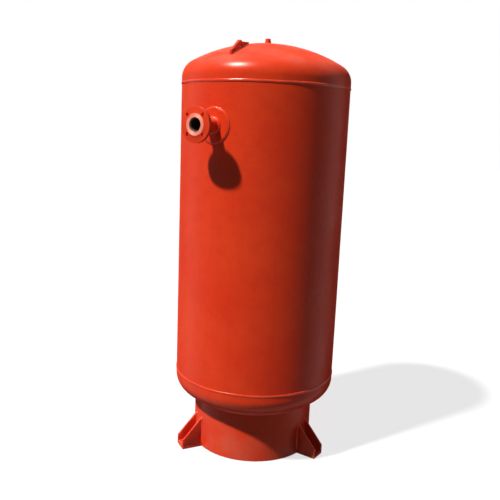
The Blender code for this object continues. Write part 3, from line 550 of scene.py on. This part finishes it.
CLEARANCE = 0.0003  # between neighbours that are separate pieces
ROUND_STEPS = 192  # round the tank
shell_low, shell_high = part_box("shell")
SHELL_RADIUS = shell_high.x
SHELL_WALL = 0.006
TOP_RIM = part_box("top_head")[0].z
BOTTOM_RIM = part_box("bottom_head")[1].z
HEAD_WALL = 0.008
HEAD_CROWN_RADIUS = 0.720
HEAD_KNUCKLE_RADIUS = 0.085
HEAD_STRAIGHT = 0.025
HEAD_HOLE = 0.0146  # radius of the hole that a coupling stands in
SKIRT_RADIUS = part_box("skirt")[1].x
SKIRT_WALL = 0.006
NOZZLES = (("outlet", 0, middle("outlet_flange")), ("inlet", 180, middle("inlet_flange")))
neck_low, neck_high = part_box("outlet_neck")
NECK_RADIUS = neck_high.x
NECK_WALL = 0.0039
NECK_BORE = NECK_RADIUS - NECK_WALL
print("shell radius", round(SHELL_RADIUS, 4), "skirt radius", round(SKIRT_RADIUS, 4))

# %% [markdown]
# ## Shell and heads
# The shell is a rolled plate, and no rolled plate is a perfect cylinder: it waves by a few tenths of a
# millimetre, and the weld's heat draws it in at each end. The heads are pressed, so a profile of two arcs,
# the tight knuckle and the wide crown, gives their whole shape.


# %% Vessel
PLATE_ROWS = 56
PLATE_WAVE = 0.00012
WAVE_ROOM = 0.00025  # keeps the highest wave inside the frame's size
END_DRAW = 0.0006
END_DRAW_REACH = 0.030


def head_curve(inset, hole, knuckle_steps=14, crown_steps=34):
    """(radius, height above the rim) of a head's surface, from its rim to the hole in its crown."""
    knuckle_centre = SHELL_RADIUS - HEAD_KNUCKLE_RADIUS
    between = HEAD_CROWN_RADIUS - HEAD_KNUCKLE_RADIUS
    crown_drop = math.sqrt(between**2 - knuckle_centre**2)
    knuckle_end = 90 - math.degrees(math.asin(knuckle_centre / between))
    crown_radius = HEAD_CROWN_RADIUS - inset
    hole_angle = 90 - math.degrees(math.asin(hole / crown_radius))
    knuckle_radius = HEAD_KNUCKLE_RADIUS - inset
    knuckle = arc((knuckle_centre, HEAD_STRAIGHT), knuckle_radius, 0, knuckle_end, knuckle_steps)
    crown = arc((0, HEAD_STRAIGHT - crown_drop), crown_radius, knuckle_end, hole_angle, crown_steps)
    return [(SHELL_RADIUS - inset, 0)] + knuckle + crown[1:]


def head_height(radius):
    """Height of a head's outside above its rim."""
    knuckle_centre = SHELL_RADIUS - HEAD_KNUCKLE_RADIUS
    crown_drop = math.sqrt((HEAD_CROWN_RADIUS - HEAD_KNUCKLE_RADIUS) ** 2 - knuckle_centre**2)
    if radius > knuckle_centre * HEAD_CROWN_RADIUS / (HEAD_CROWN_RADIUS - HEAD_KNUCKLE_RADIUS):
        return HEAD_STRAIGHT + math.sqrt(HEAD_KNUCKLE_RADIUS**2 - (radius - knuckle_centre) ** 2)
    return HEAD_STRAIGHT - crown_drop + math.sqrt(HEAD_CROWN_RADIUS**2 - radius**2)


def waved(shape, low, high):
    """Lets the plate wave a little, and draws it in towards both ends."""
    for point in shape.verts:
        turn = math.atan2(point.co.y, point.co.x)
        slow = math.sin(3 * turn + 4.1 * point.co.z) + 0.6 * math.sin(7 * turn - 9.0 * point.co.z + 1.3)
        near_end = min(point.co.z - low, high - point.co.z)
        draw = math.exp(-((near_end / END_DRAW_REACH) ** 2))
        scale = 1 - (WAVE_ROOM + PLATE_WAVE * slow + END_DRAW * draw) / SHELL_RADIUS
        point.co.x *= scale
        point.co.y *= scale
    return shape


def make_shell():
    low, high = shell_low.z, shell_high.z
    inner = SHELL_RADIUS - SHELL_WALL
    outside = [(SHELL_RADIUS, low + (high - low) * i / PLATE_ROWS) for i in range(PLATE_ROWS + 1)]
    shape = lathe(outside + [(inner, high), (inner, low)], ROUND_STEPS)
    holes = []
    for _, turn, height in NOZZLES:
        hole = rod(NECK_RADIUS + CLEARANCE, SHELL_RADIUS - 0.05, SHELL_RADIUS + 0.05, 64)
        bmesh.ops.transform(hole, matrix=outward(turn, height), verts=hole.verts)
        holes.append(hole)
    shape = combined("DIFFERENCE", waved(shape, low, high), *holes)
    marked(shape, "inside", lambda point: point.xy.length < inner + 0.001)
    show("shell_plate", shape, "tank_paint", ["shell"], sharp=30)


def in_the_dish(radius, height):
    """True on a head's inner surface, which stays unpainted."""
    return radius < SHELL_RADIUS - 0.001 and height < head_height(radius) - HEAD_WALL / 2


def make_heads():
    profile = head_curve(0, HEAD_HOLE) + head_curve(HEAD_WALL, HEAD_HOLE)[::-1]
    for name, rim, way in (("top_head", TOP_RIM, 1), ("bottom_head", BOTTOM_RIM, -1)):
        shape = lathe([(radius, rim + way * height) for radius, height in profile], ROUND_STEPS)
        marked(shape, "inside", lambda point: in_the_dish(point.xy.length, abs(point.z - rim)))
        show(name + "_dish", shape, "tank_paint", [name], sharp=30)


make_shell()
make_heads()

# %% [markdown]
# ## Weld beads
# A weld is a row of frozen puddles. Each puddle is a crescent, so the ripple's phase depends on the distance
# along the seam and, squared, on the distance from its middle. The beads are lathed or swept first, and then
# their points move out by that wave.

# %% Ripples
RIPPLE_PITCH = 0.0042
RIPPLE_HEIGHT = 0.0005
SEAM_STEPS = 1500
LONG_SEAM_STEPS = 900
LONG_SEAM_TURN = 100.0
LONG_SEAM_WIDTH, LONG_SEAM_CROWN, LONG_SEAM_SUNK = 0.012, 0.0020, 0.0025


def ripple(along, across, pitch=RIPPLE_PITCH):
    """A puddle's height from 0 to 1, with across from -1 to 1 over the bead."""
    wander = 0.35 * math.sin(along * 37.0) + 0.25 * math.sin(along * 91.0 + 1.0)
    phase = (along / pitch + wander - 0.55 * across**2) % 1.0
    return (1 - (2 * phase - 1) ** 2) * (1 - 0.6 * across**2)


def cap_section(width, height, sunk, steps=8):
    """(across, out) points of a butt weld's crowned cap, with its feet sunk below the surface."""
    crown = [
        (-width / 2 + width * i / steps, height * (1 - (2 * i / steps - 1) ** 2)) for i in range(steps + 1)
    ]
    return [(-width / 2, -sunk)] + crown + [(width / 2, -sunk)]


def show_bead(name, shape, stands_for=(), place=None):
    show(name + "_bead", shape, "weld_paint", stands_for, place=place, sharp=60)


def swept(shape, row, step, steps):
    """Sweeps a row of points, closed to a face, by step as many times as steps says."""
    face = shape.faces.new(row)
    bmesh.ops.spin(shape, geom=[face], cent=(0, 0, 0), axis=(0, 0, 1), dvec=step, angle=0, steps=steps)
    bmesh.ops.recalc_face_normals(shape, faces=shape.faces)
    return shape


def make_seam_rings():
    for node in ("top_seam_weld", "bottom_seam_weld"):
        low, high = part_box(node)
        centre, width = middle(node), high.z - low.z
        tall = high.x - SHELL_RADIUS - RIPPLE_HEIGHT
        section = cap_section(width, tall, 0.0016)
        shape = lathe([(SHELL_RADIUS + out, centre + across) for across, out in section], SEAM_STEPS)
        for point in shape.verts:
            radius = point.co.xy.length
            across = (point.co.z - centre) / (width / 2)
            along = math.atan2(point.co.y, point.co.x) * SHELL_RADIUS
            sway = 0.0004 * math.sin(along * 23.0) + 0.0003 * math.sin(along * 61.0)
            if radius > SHELL_RADIUS - 0.0002:
                point.co.xy *= 1 + RIPPLE_HEIGHT * ripple(along, across) / radius
            point.co.z += sway
        show_bead(node, shape, [node])


def make_long_seam():
    low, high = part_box("long_seam_weld")
    section = cap_section(LONG_SEAM_WIDTH, LONG_SEAM_CROWN, LONG_SEAM_SUNK)
    shape = bmesh.new()
    row = [shape.verts.new((across, -SHELL_RADIUS - out + 0.0004, low.z)) for across, out in section]
    shape = swept(shape, row, Vector((0, 0, (high.z - low.z) / LONG_SEAM_STEPS)), LONG_SEAM_STEPS)
    for point in shape.verts:
        if point.co.y < -SHELL_RADIUS:
            point.co.y -= RIPPLE_HEIGHT * 0.4 * ripple(point.co.z, point.co.x / (LONG_SEAM_WIDTH / 2))
        point.co.x += 0.0004 * math.sin(point.co.z * 19.0)
    show_bead("long_seam", shape, ["long_seam_weld"], turned(LONG_SEAM_TURN))


make_seam_rings()
make_long_seam()

# %% [markdown]
# ## Fillet welds
# A fillet fills a corner between two plates. Its section is a triangle with a slightly full face. Round a
# pipe it is lathed, and along a straight edge it is swept with tapered ends. Where it lies on the shell, its
# points are wrapped round the tank's axis afterwards.


# %% Fillets
FILLET_PITCH = 0.0036
FILLET_RIPPLE = 0.0004
FILLET_STEP = 0.0011  # along a straight edge, about three to a ripple


def fillet_section(leg_out, leg_up, steps=6, full=0.16, sunk=0.0008):
    """(out, up) points from the corner, over the weld's full face, and back."""
    face = []
    for i in range(steps + 1):
        share = i / steps
        bulge = full * math.sin(math.pi * share)
        face.append((leg_out * (1 - share + bulge), leg_up * (share + bulge)))
    return [(-sunk, -sunk), (leg_out, -sunk)] + face + [(-sunk, leg_up)]


def wrapped(shape):
    """Wraps a shape that stands on local z round the tank's axis, each point at its own radius."""
    for point in shape.verts:
        point.co.z = math.sqrt(point.co.z**2 - point.co.x**2)
    return shape


def ring_fillet(radius, height, leg_out, leg_up, steps):
    """A rippled fillet round a pipe, on the surface at height, or under it where leg_up is negative."""
    corner = Vector((radius, height))
    way = math.copysign(1, leg_up)
    section = fillet_section(leg_out, abs(leg_up))
    shape = lathe([(radius + out, height + way * up) for out, up in section], steps)
    for point in shape.verts:
        offset = Vector((point.co.xy.length, point.co.z)) - corner
        away = offset.x / leg_out + offset.y * way / abs(leg_up)
        if away > 0.9:
            along = math.atan2(point.co.y, point.co.x) * radius
            across = offset.x / leg_out - offset.y * way / abs(leg_up)
            move = FILLET_RIPPLE * ripple(along, max(-1, min(1, across)), FILLET_PITCH)
            point.co.xy *= 1 + 0.7 * move / point.co.xy.length
            point.co.z += way * 0.7 * move
    return shape


def straight_fillet(start, end, out_a, out_b, leg):
    """A rippled fillet from start to end, with its legs along out_a and out_b."""
    start, end, out_a, out_b = Vector(start), Vector(end), Vector(out_a), Vector(out_b)
    length = (end - start).length
    steps = max(12, round(length / FILLET_STEP))
    shape = bmesh.new()
    section = fillet_section(leg, leg, steps=5)
    row = [shape.verts.new(start + out_a * a + out_b * b) for a, b in section]
    shape = swept(shape, row, (end - start) / steps, steps)
    heading = (end - start).normalized()
    for point in shape.verts:
        along = (point.co - start).dot(heading)
        offset = point.co - start - heading * along
        a, b = offset.dot(out_a) / leg, offset.dot(out_b) / leg
        near_end = min(along, length - along) / (leg * 1.2)
        taper = math.sqrt(max(0.0, 1 - (1 - min(1.0, near_end)) ** 2)) * 0.9 + 0.1
        on_face = a + b > 0.9
        grow = 1 + 0.10 * ripple(along, max(-1, min(1, a - b)), FILLET_PITCH) if on_face else 1
        point.co = start + heading * along + offset * taper * grow
    return shape


# %% [markdown]
# ## Skirt
# The skirt is a plain rolled ring, so it is lathed, and a Boolean cuts the hand hole at the back for the
# drain pipe. The weld over it follows the head, which curves away from it.

# %% Skirt
HAND_HOLE_WIDTH, HAND_HOLE_HEIGHT = 0.160, 0.130
HAND_HOLE_CENTRE = 0.112  # above the floor
SKIRT_ROWS = 8
SKIRT_RIM = 0.0012
SKIRT_LEG = 0.009  # of the weld at its top
SKIRT_WELD_HOLLOW = 0.0016
SKIRT_WELD_STEPS = 1100


def make_skirt():
    inner = SKIRT_RADIUS - SKIRT_WALL
    top = BOTTOM_RIM - head_height(SKIRT_RADIUS) - CLEARANCE
    inner_top = BOTTOM_RIM - head_height(inner) - CLEARANCE
    tall = top - SKIRT_RIM
    outside = [(SKIRT_RADIUS, SKIRT_RIM + tall * i / SKIRT_ROWS) for i in range(SKIRT_ROWS + 1)]
    profile = [(inner, 0), (SKIRT_RADIUS - SKIRT_RIM, 0)] + outside + [(inner, inner_top)]
    ring = lathe(profile, ROUND_STEPS)
    end_radius = HAND_HOLE_HEIGHT / 2
    end_centre = HAND_HOLE_WIDTH / 2 - end_radius
    slot = arc((end_centre, HAND_HOLE_CENTRE), end_radius, -90, 90, 24)
    slot += arc((-end_centre, HAND_HOLE_CENTRE), end_radius, 90, 270, 24)
    cutter = bmesh.new()
    face = cutter.faces.new([cutter.verts.new((x, SKIRT_RADIUS - 0.05, z)) for x, z in slot])
    grown = bmesh.ops.extrude_face_region(cutter, geom=[face])["geom"]
    far = [item for item in grown if isinstance(item, bmesh.types.BMVert)]
    bmesh.ops.translate(cutter, vec=(0, 0.1, 0), verts=far)
    bmesh.ops.recalc_face_normals(cutter, faces=cutter.faces)
    show("skirt_ring", combined("DIFFERENCE", ring, cutter), "tank_paint", ["skirt"], sharp=30)


def make_skirt_weld():
    """The fillet between the skirt's top and the bottom head, which curves away over it."""
    leg, sunk = SKIRT_LEG, 0.001
    top = BOTTOM_RIM - head_height(SKIRT_RADIUS) - CLEARANCE
    toe = BOTTOM_RIM - head_height(SKIRT_RADIUS + leg)
    profile = [(SKIRT_RADIUS - sunk, top + sunk), (SKIRT_RADIUS + leg, toe + 0.0008)]
    for i in range(7):
        share = i / 6
        hollow = SKIRT_WELD_HOLLOW * math.sin(math.pi * share)
        profile.append((SKIRT_RADIUS + leg * (1 - share), toe + (top - leg - toe) * share - hollow))
    profile.append((SKIRT_RADIUS - sunk, top - leg))
    fillet = lathe(profile, SKIRT_WELD_STEPS)
    for point in fillet.verts:
        if point.co.z < toe and point.co.xy.length > SKIRT_RADIUS + 0.0002:
            along = math.atan2(point.co.y, point.co.x) * SKIRT_RADIUS
            across = 2 * (point.co.z - toe) / leg + 1
            point.co.z -= 0.0006 * ripple(along, max(-1, min(1, across)))
    show_bead("skirt_weld", fillet, ["skirt_weld"])


make_skirt()
make_skirt_weld()

# %% [markdown]
# ## Feet
# Three feet are welded round the bottom of the skirt, each a base plate between two gussets. The plates are
# copies of their CAD nodes with eased edges, and the welds that hold them are added here.

# %% Feet
FOOT_WIDTH = 0.078
FOOT_REACH = SKIRT_RADIUS + 0.098
FOOT_EDGE = 0.0012
FOOT_LEG = 0.0055  # of its welds
GUSSET_PLATE = 0.010
FOOT_TURNS = {"front_left": 30.0, "rear_left": 150.0, "right": 270.0}


def make_foot(foot, turn):
    """Base plate, two gussets and their welds."""
    base, place = foot + "_foot_plate", turned(turn)
    thick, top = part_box(base)[1].z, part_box(foot + "_foot_left_gusset")[1].z
    show(foot + "_base", ease(copied(base), FOOT_EDGE), "tank_paint", [base])
    for hand, way in (("left", -1), ("right", 1)):
        node = f"{foot}_foot_{hand}_gusset"
        show(f"{foot}_{hand}_rib", ease(copied(node), FOOT_EDGE), "tank_paint", [node])
        outer, inner = way * FOOT_WIDTH / 2, way * (FOOT_WIDTH / 2 - GUSSET_PLATE)
        for side, x, out in (("outer", outer, way), ("inner", inner, -way)):
            skirt_y = -math.sqrt(SKIRT_RADIUS**2 - x**2)
            lean = Vector((out, x / SKIRT_RADIUS * out, 0)).normalized()
            low, high = (x, skirt_y + 0.0004, thick), (x, skirt_y + 0.0004, top - 0.002)
            up_the_skirt = straight_fillet(low, high, lean, (0, -1, 0), FOOT_LEG)
            show_bead(f"{foot}_{hand}_{side}_skirt", up_the_skirt, place=place)
            if side == "inner":
                far, near = (x, -FOOT_REACH + 0.004, thick), (x, skirt_y - 0.003, thick)
                on_plate = straight_fillet(far, near, (out, 0, 0), (0, 0, 1), FOOT_LEG * 0.9)
                show_bead(f"{foot}_{hand}_plate", on_plate, place=place)


for foot, turn in FOOT_TURNS.items():
    make_foot(foot, turn)

# %% [markdown]
# ## Nozzles
# A pipe neck runs through a round pad into the shell and ends in a flange. The pad spreads the load round
# the hole. The flange's raised face has fine grooves that grip a gasket. Both nozzles are the same, so one
# function makes them.


# %% Nozzle
NECK_INSIDE = 0.006  # how far the neck stands into the tank
NECK_RIM = 0.0008
PAD_PLATE = 0.0069
PAD_SUNK = 0.0006
PAD_RIM = 0.0015
PAD_ROWS = 10
FLANGE_RIM = 0.0013
RAISED_FACE = 0.046  # radius of the sealing face
RAISED_STEP = 0.0016
GROOVES = 9
GROOVE_DEPTH = 0.00025
BOLT_CIRCLE = 0.1143
BOLT_HOLE = 0.0175


def make_neck(name, place):
    low, high, rim = SHELL_RADIUS - SHELL_WALL - NECK_INSIDE, -neck_low.y, NECK_RIM
    profile = [(NECK_BORE, low), (NECK_RADIUS, low)]
    profile += arc((NECK_RADIUS - rim, high - rim), rim, 0, 90, 3)
    profile += arc((NECK_BORE + rim, high - rim), rim, 90, 180, 3)
    shape = marked(lathe(profile, 96), "inside", lambda point: point.xy.length < NECK_BORE + 0.0002)
    show(name + "_pipe", shape, "tank_paint", [name + "_neck"], place=place)


def make_pad(name, place):
    pad_low, pad_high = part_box("outlet_pad")
    radius = (pad_high.x - pad_low.x) / 2
    low, high, hole = SHELL_RADIUS - PAD_SUNK, SHELL_RADIUS - PAD_SUNK + PAD_PLATE, NECK_RADIUS + CLEARANCE
    flat = radius - PAD_RIM
    top = [(hole + (flat - hole) * i / PAD_ROWS, high) for i in range(PAD_ROWS + 1)]
    edge = arc((flat, high - PAD_RIM), PAD_RIM, 90, 0, 3)[1:]
    bottom = [(r, low) for r, _ in top[::-1]]
    shape = wrapped(lathe(top + edge + [(radius, low)] + bottom[:-1] + [(hole, low)], 144))
    bmesh.ops.remove_doubles(shape, verts=shape.verts, dist=1e-6)
    show(name + "_pad_plate", shape, "tank_paint", [name + "_pad"], place=place)
    pad_weld = wrapped(ring_fillet(radius - 0.0005, SHELL_RADIUS, leg_out=0.0065, leg_up=0.0052, steps=520))
    show_bead(name + "_pad", pad_weld, [name + "_pad_weld"], place)
    neck_weld = wrapped(ring_fillet(NECK_RADIUS, high, leg_out=0.0092, leg_up=0.0088, steps=260))
    show_bead(name + "_neck", neck_weld, [name + "_neck_weld"], place)


def flange_profile(face, back, radius, hole):
    """(radius, height) points of a flange with a grooved raised face."""
    front = face - RAISED_STEP
    profile = [(hole, back)]
    profile += arc((radius - FLANGE_RIM, back + FLANGE_RIM), FLANGE_RIM, -90, 0, 4)
    profile += arc((radius - FLANGE_RIM, front - FLANGE_RIM), FLANGE_RIM, 0, 90, 4)
    profile += arc((RAISED_FACE + 0.0006, front + 0.0006), 0.0006, -90, -180, 2)
    profile += [(RAISED_FACE, face - 0.0004), (RAISED_FACE - 0.0004, face)]
    pitch = (RAISED_FACE - hole - 0.003) / GROOVES
    for i in range(GROOVES):
        outer = RAISED_FACE - 0.0015 - i * pitch
        profile += [(outer, face), (outer - pitch * 0.35, face - GROOVE_DEPTH), (outer - pitch * 0.7, face)]
    return profile + [(hole, face)]


def make_flange(name, place):
    low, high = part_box("outlet_flange")
    face, back = -low.y, -high.y
    shape = lathe(flange_profile(face, back, high.x, NECK_RADIUS + CLEARANCE), 144)
    bolts = []
    for i in range(4):
        angle = math.tau * (i + 0.5) / 4
        bolt_hole = rod(BOLT_HOLE / 2, back - 0.01, face + 0.01, 40)
        hub = Vector((math.cos(angle), math.sin(angle), 0)) * BOLT_CIRCLE / 2
        bmesh.ops.translate(bolt_hole, vec=hub, verts=bolt_hole.verts)
        bolts.append(bolt_hole)
    shape = combined("DIFFERENCE", shape, *bolts)
    marked(shape, "bare", lambda point: point.z > face - 0.0006 and point.xy.length < RAISED_FACE + 0.0001)
    show(name + "_flange_ring", shape, "tank_paint", [name + "_flange"], place=place, sharp=30)
    weld = ring_fillet(NECK_RADIUS, back, leg_out=0.0072, leg_up=-0.0068, steps=260)
    show_bead(name + "_flange", weld, [name + "_flange_weld"], place)


def make_face_weld(name, place):
    """The weld inside a flange's mouth, over the end of its neck."""
    face = -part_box("outlet_flange")[0].y
    outer, inner = NECK_RADIUS + 0.0004, NECK_RADIUS - 0.0033
    profile = [(outer, face - 0.0054), (outer, face - 0.0016), (NECK_RADIUS - 0.0012, face - 0.0031)]
    # the whole weld is marked inside, so it takes the near-black steel that also paints the bore's shade
    shape = marked(lathe(profile + [(inner, face - 0.0050)], 200), "inside", lambda point: True)
    show_bead(name + "_face", shape, [name + "_face_weld"], place)


for name, turn, height in NOZZLES:
    for make in (make_neck, make_pad, make_flange, make_face_weld):
        make(name, outward(turn, height))

# %% [markdown]
# ## Lifting lugs
# Two plates with eyes stand on the top head, for a crane's shackles. Their welds are swept straight and then
# lowered onto the dome's curve.


# %% Lifting lugs
LUG_TURNS = {"front_lifting_lug": -5.5, "rear_lifting_lug": 174.5}
LUG_INNER, LUG_OUTER = 0.195, 0.341  # from the tank's axis
LUG_PLATE = 0.012
LUG_WELD_SUNK = 0.0006


def make_lug(node, turn):
    """A lug's plate, and a weld on each side that follows the dome under it."""
    show(node + "_plate", ease(copied(node), 0.0015), "tank_paint", [node])
    for side, hand in ((-1, "left"), (1, "right")):
        near = Vector((side * LUG_PLATE / 2, -(LUG_INNER + 0.004), 0))
        far = Vector((side * LUG_PLATE / 2, -(LUG_OUTER - 0.003), 0))
        near.z = TOP_RIM + head_height(-near.y) - LUG_WELD_SUNK
        far.z = TOP_RIM + head_height(-far.y) - LUG_WELD_SUNK
        down_slope = (far - near).normalized()
        up = Vector((0, 0, 1))
        up = (up - down_slope * up.dot(down_slope)).normalized()
        weld = straight_fillet(near, far, (side, 0, 0), up, 0.0065)
        for point in weld.verts:
            share = (point.co - near).dot(down_slope) / (far - near).length
            line = near.z + (far.z - near.z) * share
            along_y = near.y + (far.y - near.y) * share
            point.co.z += TOP_RIM + head_height(abs(along_y)) - LUG_WELD_SUNK - line
        show_bead(f"{node}_{hand}", weld, place=turned(turn))


for node, turn in LUG_TURNS.items():
    make_lug(node, turn)

# %% [markdown]
# ## Coupling and plug
# A coupling in the middle of the head takes a safety valve, and a plug closes it here. The plug's head is a
# hexagon bar cut by a cone, as a lathe chamfers it. Its thread is lathed in plain ridges, because a real
# thread's slope is too slight to see at this size.

# %% Coupling and plug
COUPLING_BORE = 0.0109
COUPLING_RIM = 0.001


def threaded_profile(radius, low, high, pitch=0.0018, depth=0.0009):
    """(radius, height) points of a thread's ridges, from low to high."""
    turns = max(1, int((high - low) / pitch))
    points = []
    for i in range(turns):
        start = low + i * pitch
        points += [(radius - depth, start), (radius, start + pitch / 2)]
    return points + [(radius - depth, low + turns * pitch)]


def make_coupling(name, way):
    """A pipe coupling in a head: way is 1 where it points up, and -1 where it points down."""
    low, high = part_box(name)
    radius, bore, rim = high.x, COUPLING_BORE, COUPLING_RIM
    outer_end, inner_end = (high.z, low.z) if way > 0 else (low.z, high.z)
    profile = [(bore, inner_end), (radius, inner_end)]
    profile += [(r, outer_end - way * h) for r, h in arc((radius - rim, rim), rim, 0, -90, 3)]
    profile += [(bore + rim, outer_end), (bore, outer_end - way * rim)]
    show(name + "_boss", lathe(profile, 64), "tank_paint", [name])
    surface = (TOP_RIM if way > 0 else BOTTOM_RIM) + way * head_height(radius)
    weld = ring_fillet(radius, surface - way * 0.0004, leg_out=0.0062, leg_up=way * 0.0058, steps=140)
    show_bead(name, weld, [name + "_weld"])


def hexagon(across_flats, low, high, crown):
    """A hexagon bar, with its upper corners turned off by a cone that is crown high."""
    corner = across_flats / 2 / math.cos(math.pi / 6)
    cone = [(0, low - 0.001), (corner + 0.001, low - 0.001), (corner + 0.001, high - crown)]
    cone += [(across_flats / 2 - 0.0002, high + 0.00001), (0, high + 0.00001)]
    return combined("INTERSECT", rod(corner, low, high, 6), lathe(cone, 48, closed=False))


def make_plug():
    low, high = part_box("top_plug")
    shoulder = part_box("top_coupling")[1].z + CLEARANCE
    head = hexagon(high.y - low.y, shoulder, high.z, crown=0.002)
    show("top_plug_head", ease(head, 0.0005, 2), "tank_paint", ["top_plug"])
    thread = threaded_profile(COUPLING_BORE - 0.00025, low.z, shoulder + 0.001)
    shape = lathe([(0, low.z)] + thread + [(0, thread[-1][1])], 48, closed=False)
    show("top_plug_thread", shape, "zinc")


make_coupling("top_coupling", 1)
make_plug()

# %% [markdown]
# ## Drain line
# Water gathers at the bottom of the tank. A nipple and an elbow lead it out through the hand hole to a ball
# valve. Both pipes are lathed with their threads. The elbow is an edge spun to a washer and then spun round
# the bend, with a thick band lathed on each mouth.

# %% Pipes
nipple_low, nipple_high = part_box("drain_nipple")
pipe_low, pipe_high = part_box("drain_pipe")
PIPE_RADIUS = nipple_high.x
PIPE_WALL = 0.0028
PIPE_BORE = PIPE_RADIUS - PIPE_WALL
LINE_HEIGHT = middle("drain_pipe")


def threaded_pipe(low, high, thread_low, thread_high):
    """A pipe from low to high with thread_low and thread_high metres of thread at its ends."""
    outside = threaded_profile(PIPE_RADIUS, low, low + thread_low)
    if high - low > thread_low + thread_high:
        outside.append((PIPE_RADIUS - 0.0001, low + thread_low + 0.001))
    outside += threaded_profile(PIPE_RADIUS, high - thread_high, high)
    return lathe([(PIPE_BORE, low)] + outside + [(PIPE_BORE, outside[-1][1])], 48)


nipple = threaded_pipe(nipple_low.z, nipple_high.z, 0.018, 0.018)
show("drain_nipple_pipe", nipple, "zinc", ["drain_nipple"])
pipe = threaded_pipe(pipe_low.y, pipe_high.y, 0.020, 0.018)
show("drain_pipe_run", pipe, "zinc", ["drain_pipe"], place=outward(180, LINE_HEIGHT))

# %% Elbow
ELBOW_BEND = 0.016  # radius of the bend
ELBOW_TUBE, ELBOW_BORE = 0.0130, 0.0085
BAND_RIM = 0.0012


def make_elbow():
    elbow_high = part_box("drain_elbow")[1]
    band, mouth = elbow_high.x, elbow_high.y
    bend = ELBOW_BEND
    tube = bmesh.new()
    ends = [tube.verts.new((radius, 0, bend)) for radius in (ELBOW_BORE, ELBOW_TUBE)]
    wall = tube.edges.new(ends)
    ring = dict(cent=(0, 0, bend), axis=(0, 0, 1), angle=math.tau, steps=40, use_merge=True)
    bmesh.ops.spin(tube, geom=[*ends, wall], **ring)
    quarter = dict(cent=(0, bend, bend), axis=(1, 0, 0), angle=math.pi / 2, steps=14, use_merge=False)
    bmesh.ops.spin(tube, geom=list(tube.faces), **quarter)
    bmesh.ops.remove_doubles(tube, verts=tube.verts, dist=1e-7)
    bmesh.ops.recalc_face_normals(tube, faces=tube.faces)
    bore = PIPE_RADIUS + CLEARANCE
    low, outer = bend - 0.0025, band - BAND_RIM
    profile = [(bore, mouth), (bore, low), (outer, low)]
    profile += arc((outer, low + BAND_RIM), BAND_RIM, -60, 0, 3)
    profile += arc((outer, mouth - BAND_RIM), BAND_RIM, 0, 90, 3)
    upright, level = lathe(profile, 48), lathe(profile, 48)
    bmesh.ops.transform(level, matrix=Matrix.Rotation(-math.pi / 2, 4, "X"), verts=level.verts)
    shape = combined("UNION", tube, upright, level)
    place = Matrix.Translation((0, 0, LINE_HEIGHT))
    show("drain_elbow_body", shape, "zinc", ["drain_elbow"], place=place, sharp=45)


make_elbow()
make_coupling("drain_coupling", -1)

# %% [markdown]
# The valve's pieces already have their shapes in the frame, so each is a copy with its edges eased by the
# width that its size allows. The lever, its nut and sleeve, the stem and the ball ride on their own body.

# %% Valve
VALVE = {
    "tank": (
        ("valve_body", "brass", 0.0006),
        ("valve_end_cap", "brass", 0.0006),
        ("valve_gland_nut", "brass", 0.0005),
        ("valve_packing", "seal", 0.0003),
        ("valve_seat_in", "seal", 0.0003),
        ("valve_seat_out", "seal", 0.0003),
    ),
    "drain_handle": (
        ("valve_ball", "chrome", 0.0003),
        ("valve_stem", "brass", 0.0003),
        ("valve_lever", "zinc", 0.0008),
        ("valve_lever_nut", "zinc", 0.0005),
        ("valve_lever_sleeve", "grip", 0.0010),
    ),
}
for body, pieces in VALVE.items():
    ending = "_turned" if body == "tank" else "_made"
    for node, slot, width in pieces:
        show(node + ending, ease(copied(node), width, 2, corner=32), slot, [node], body=body, sharp=30)
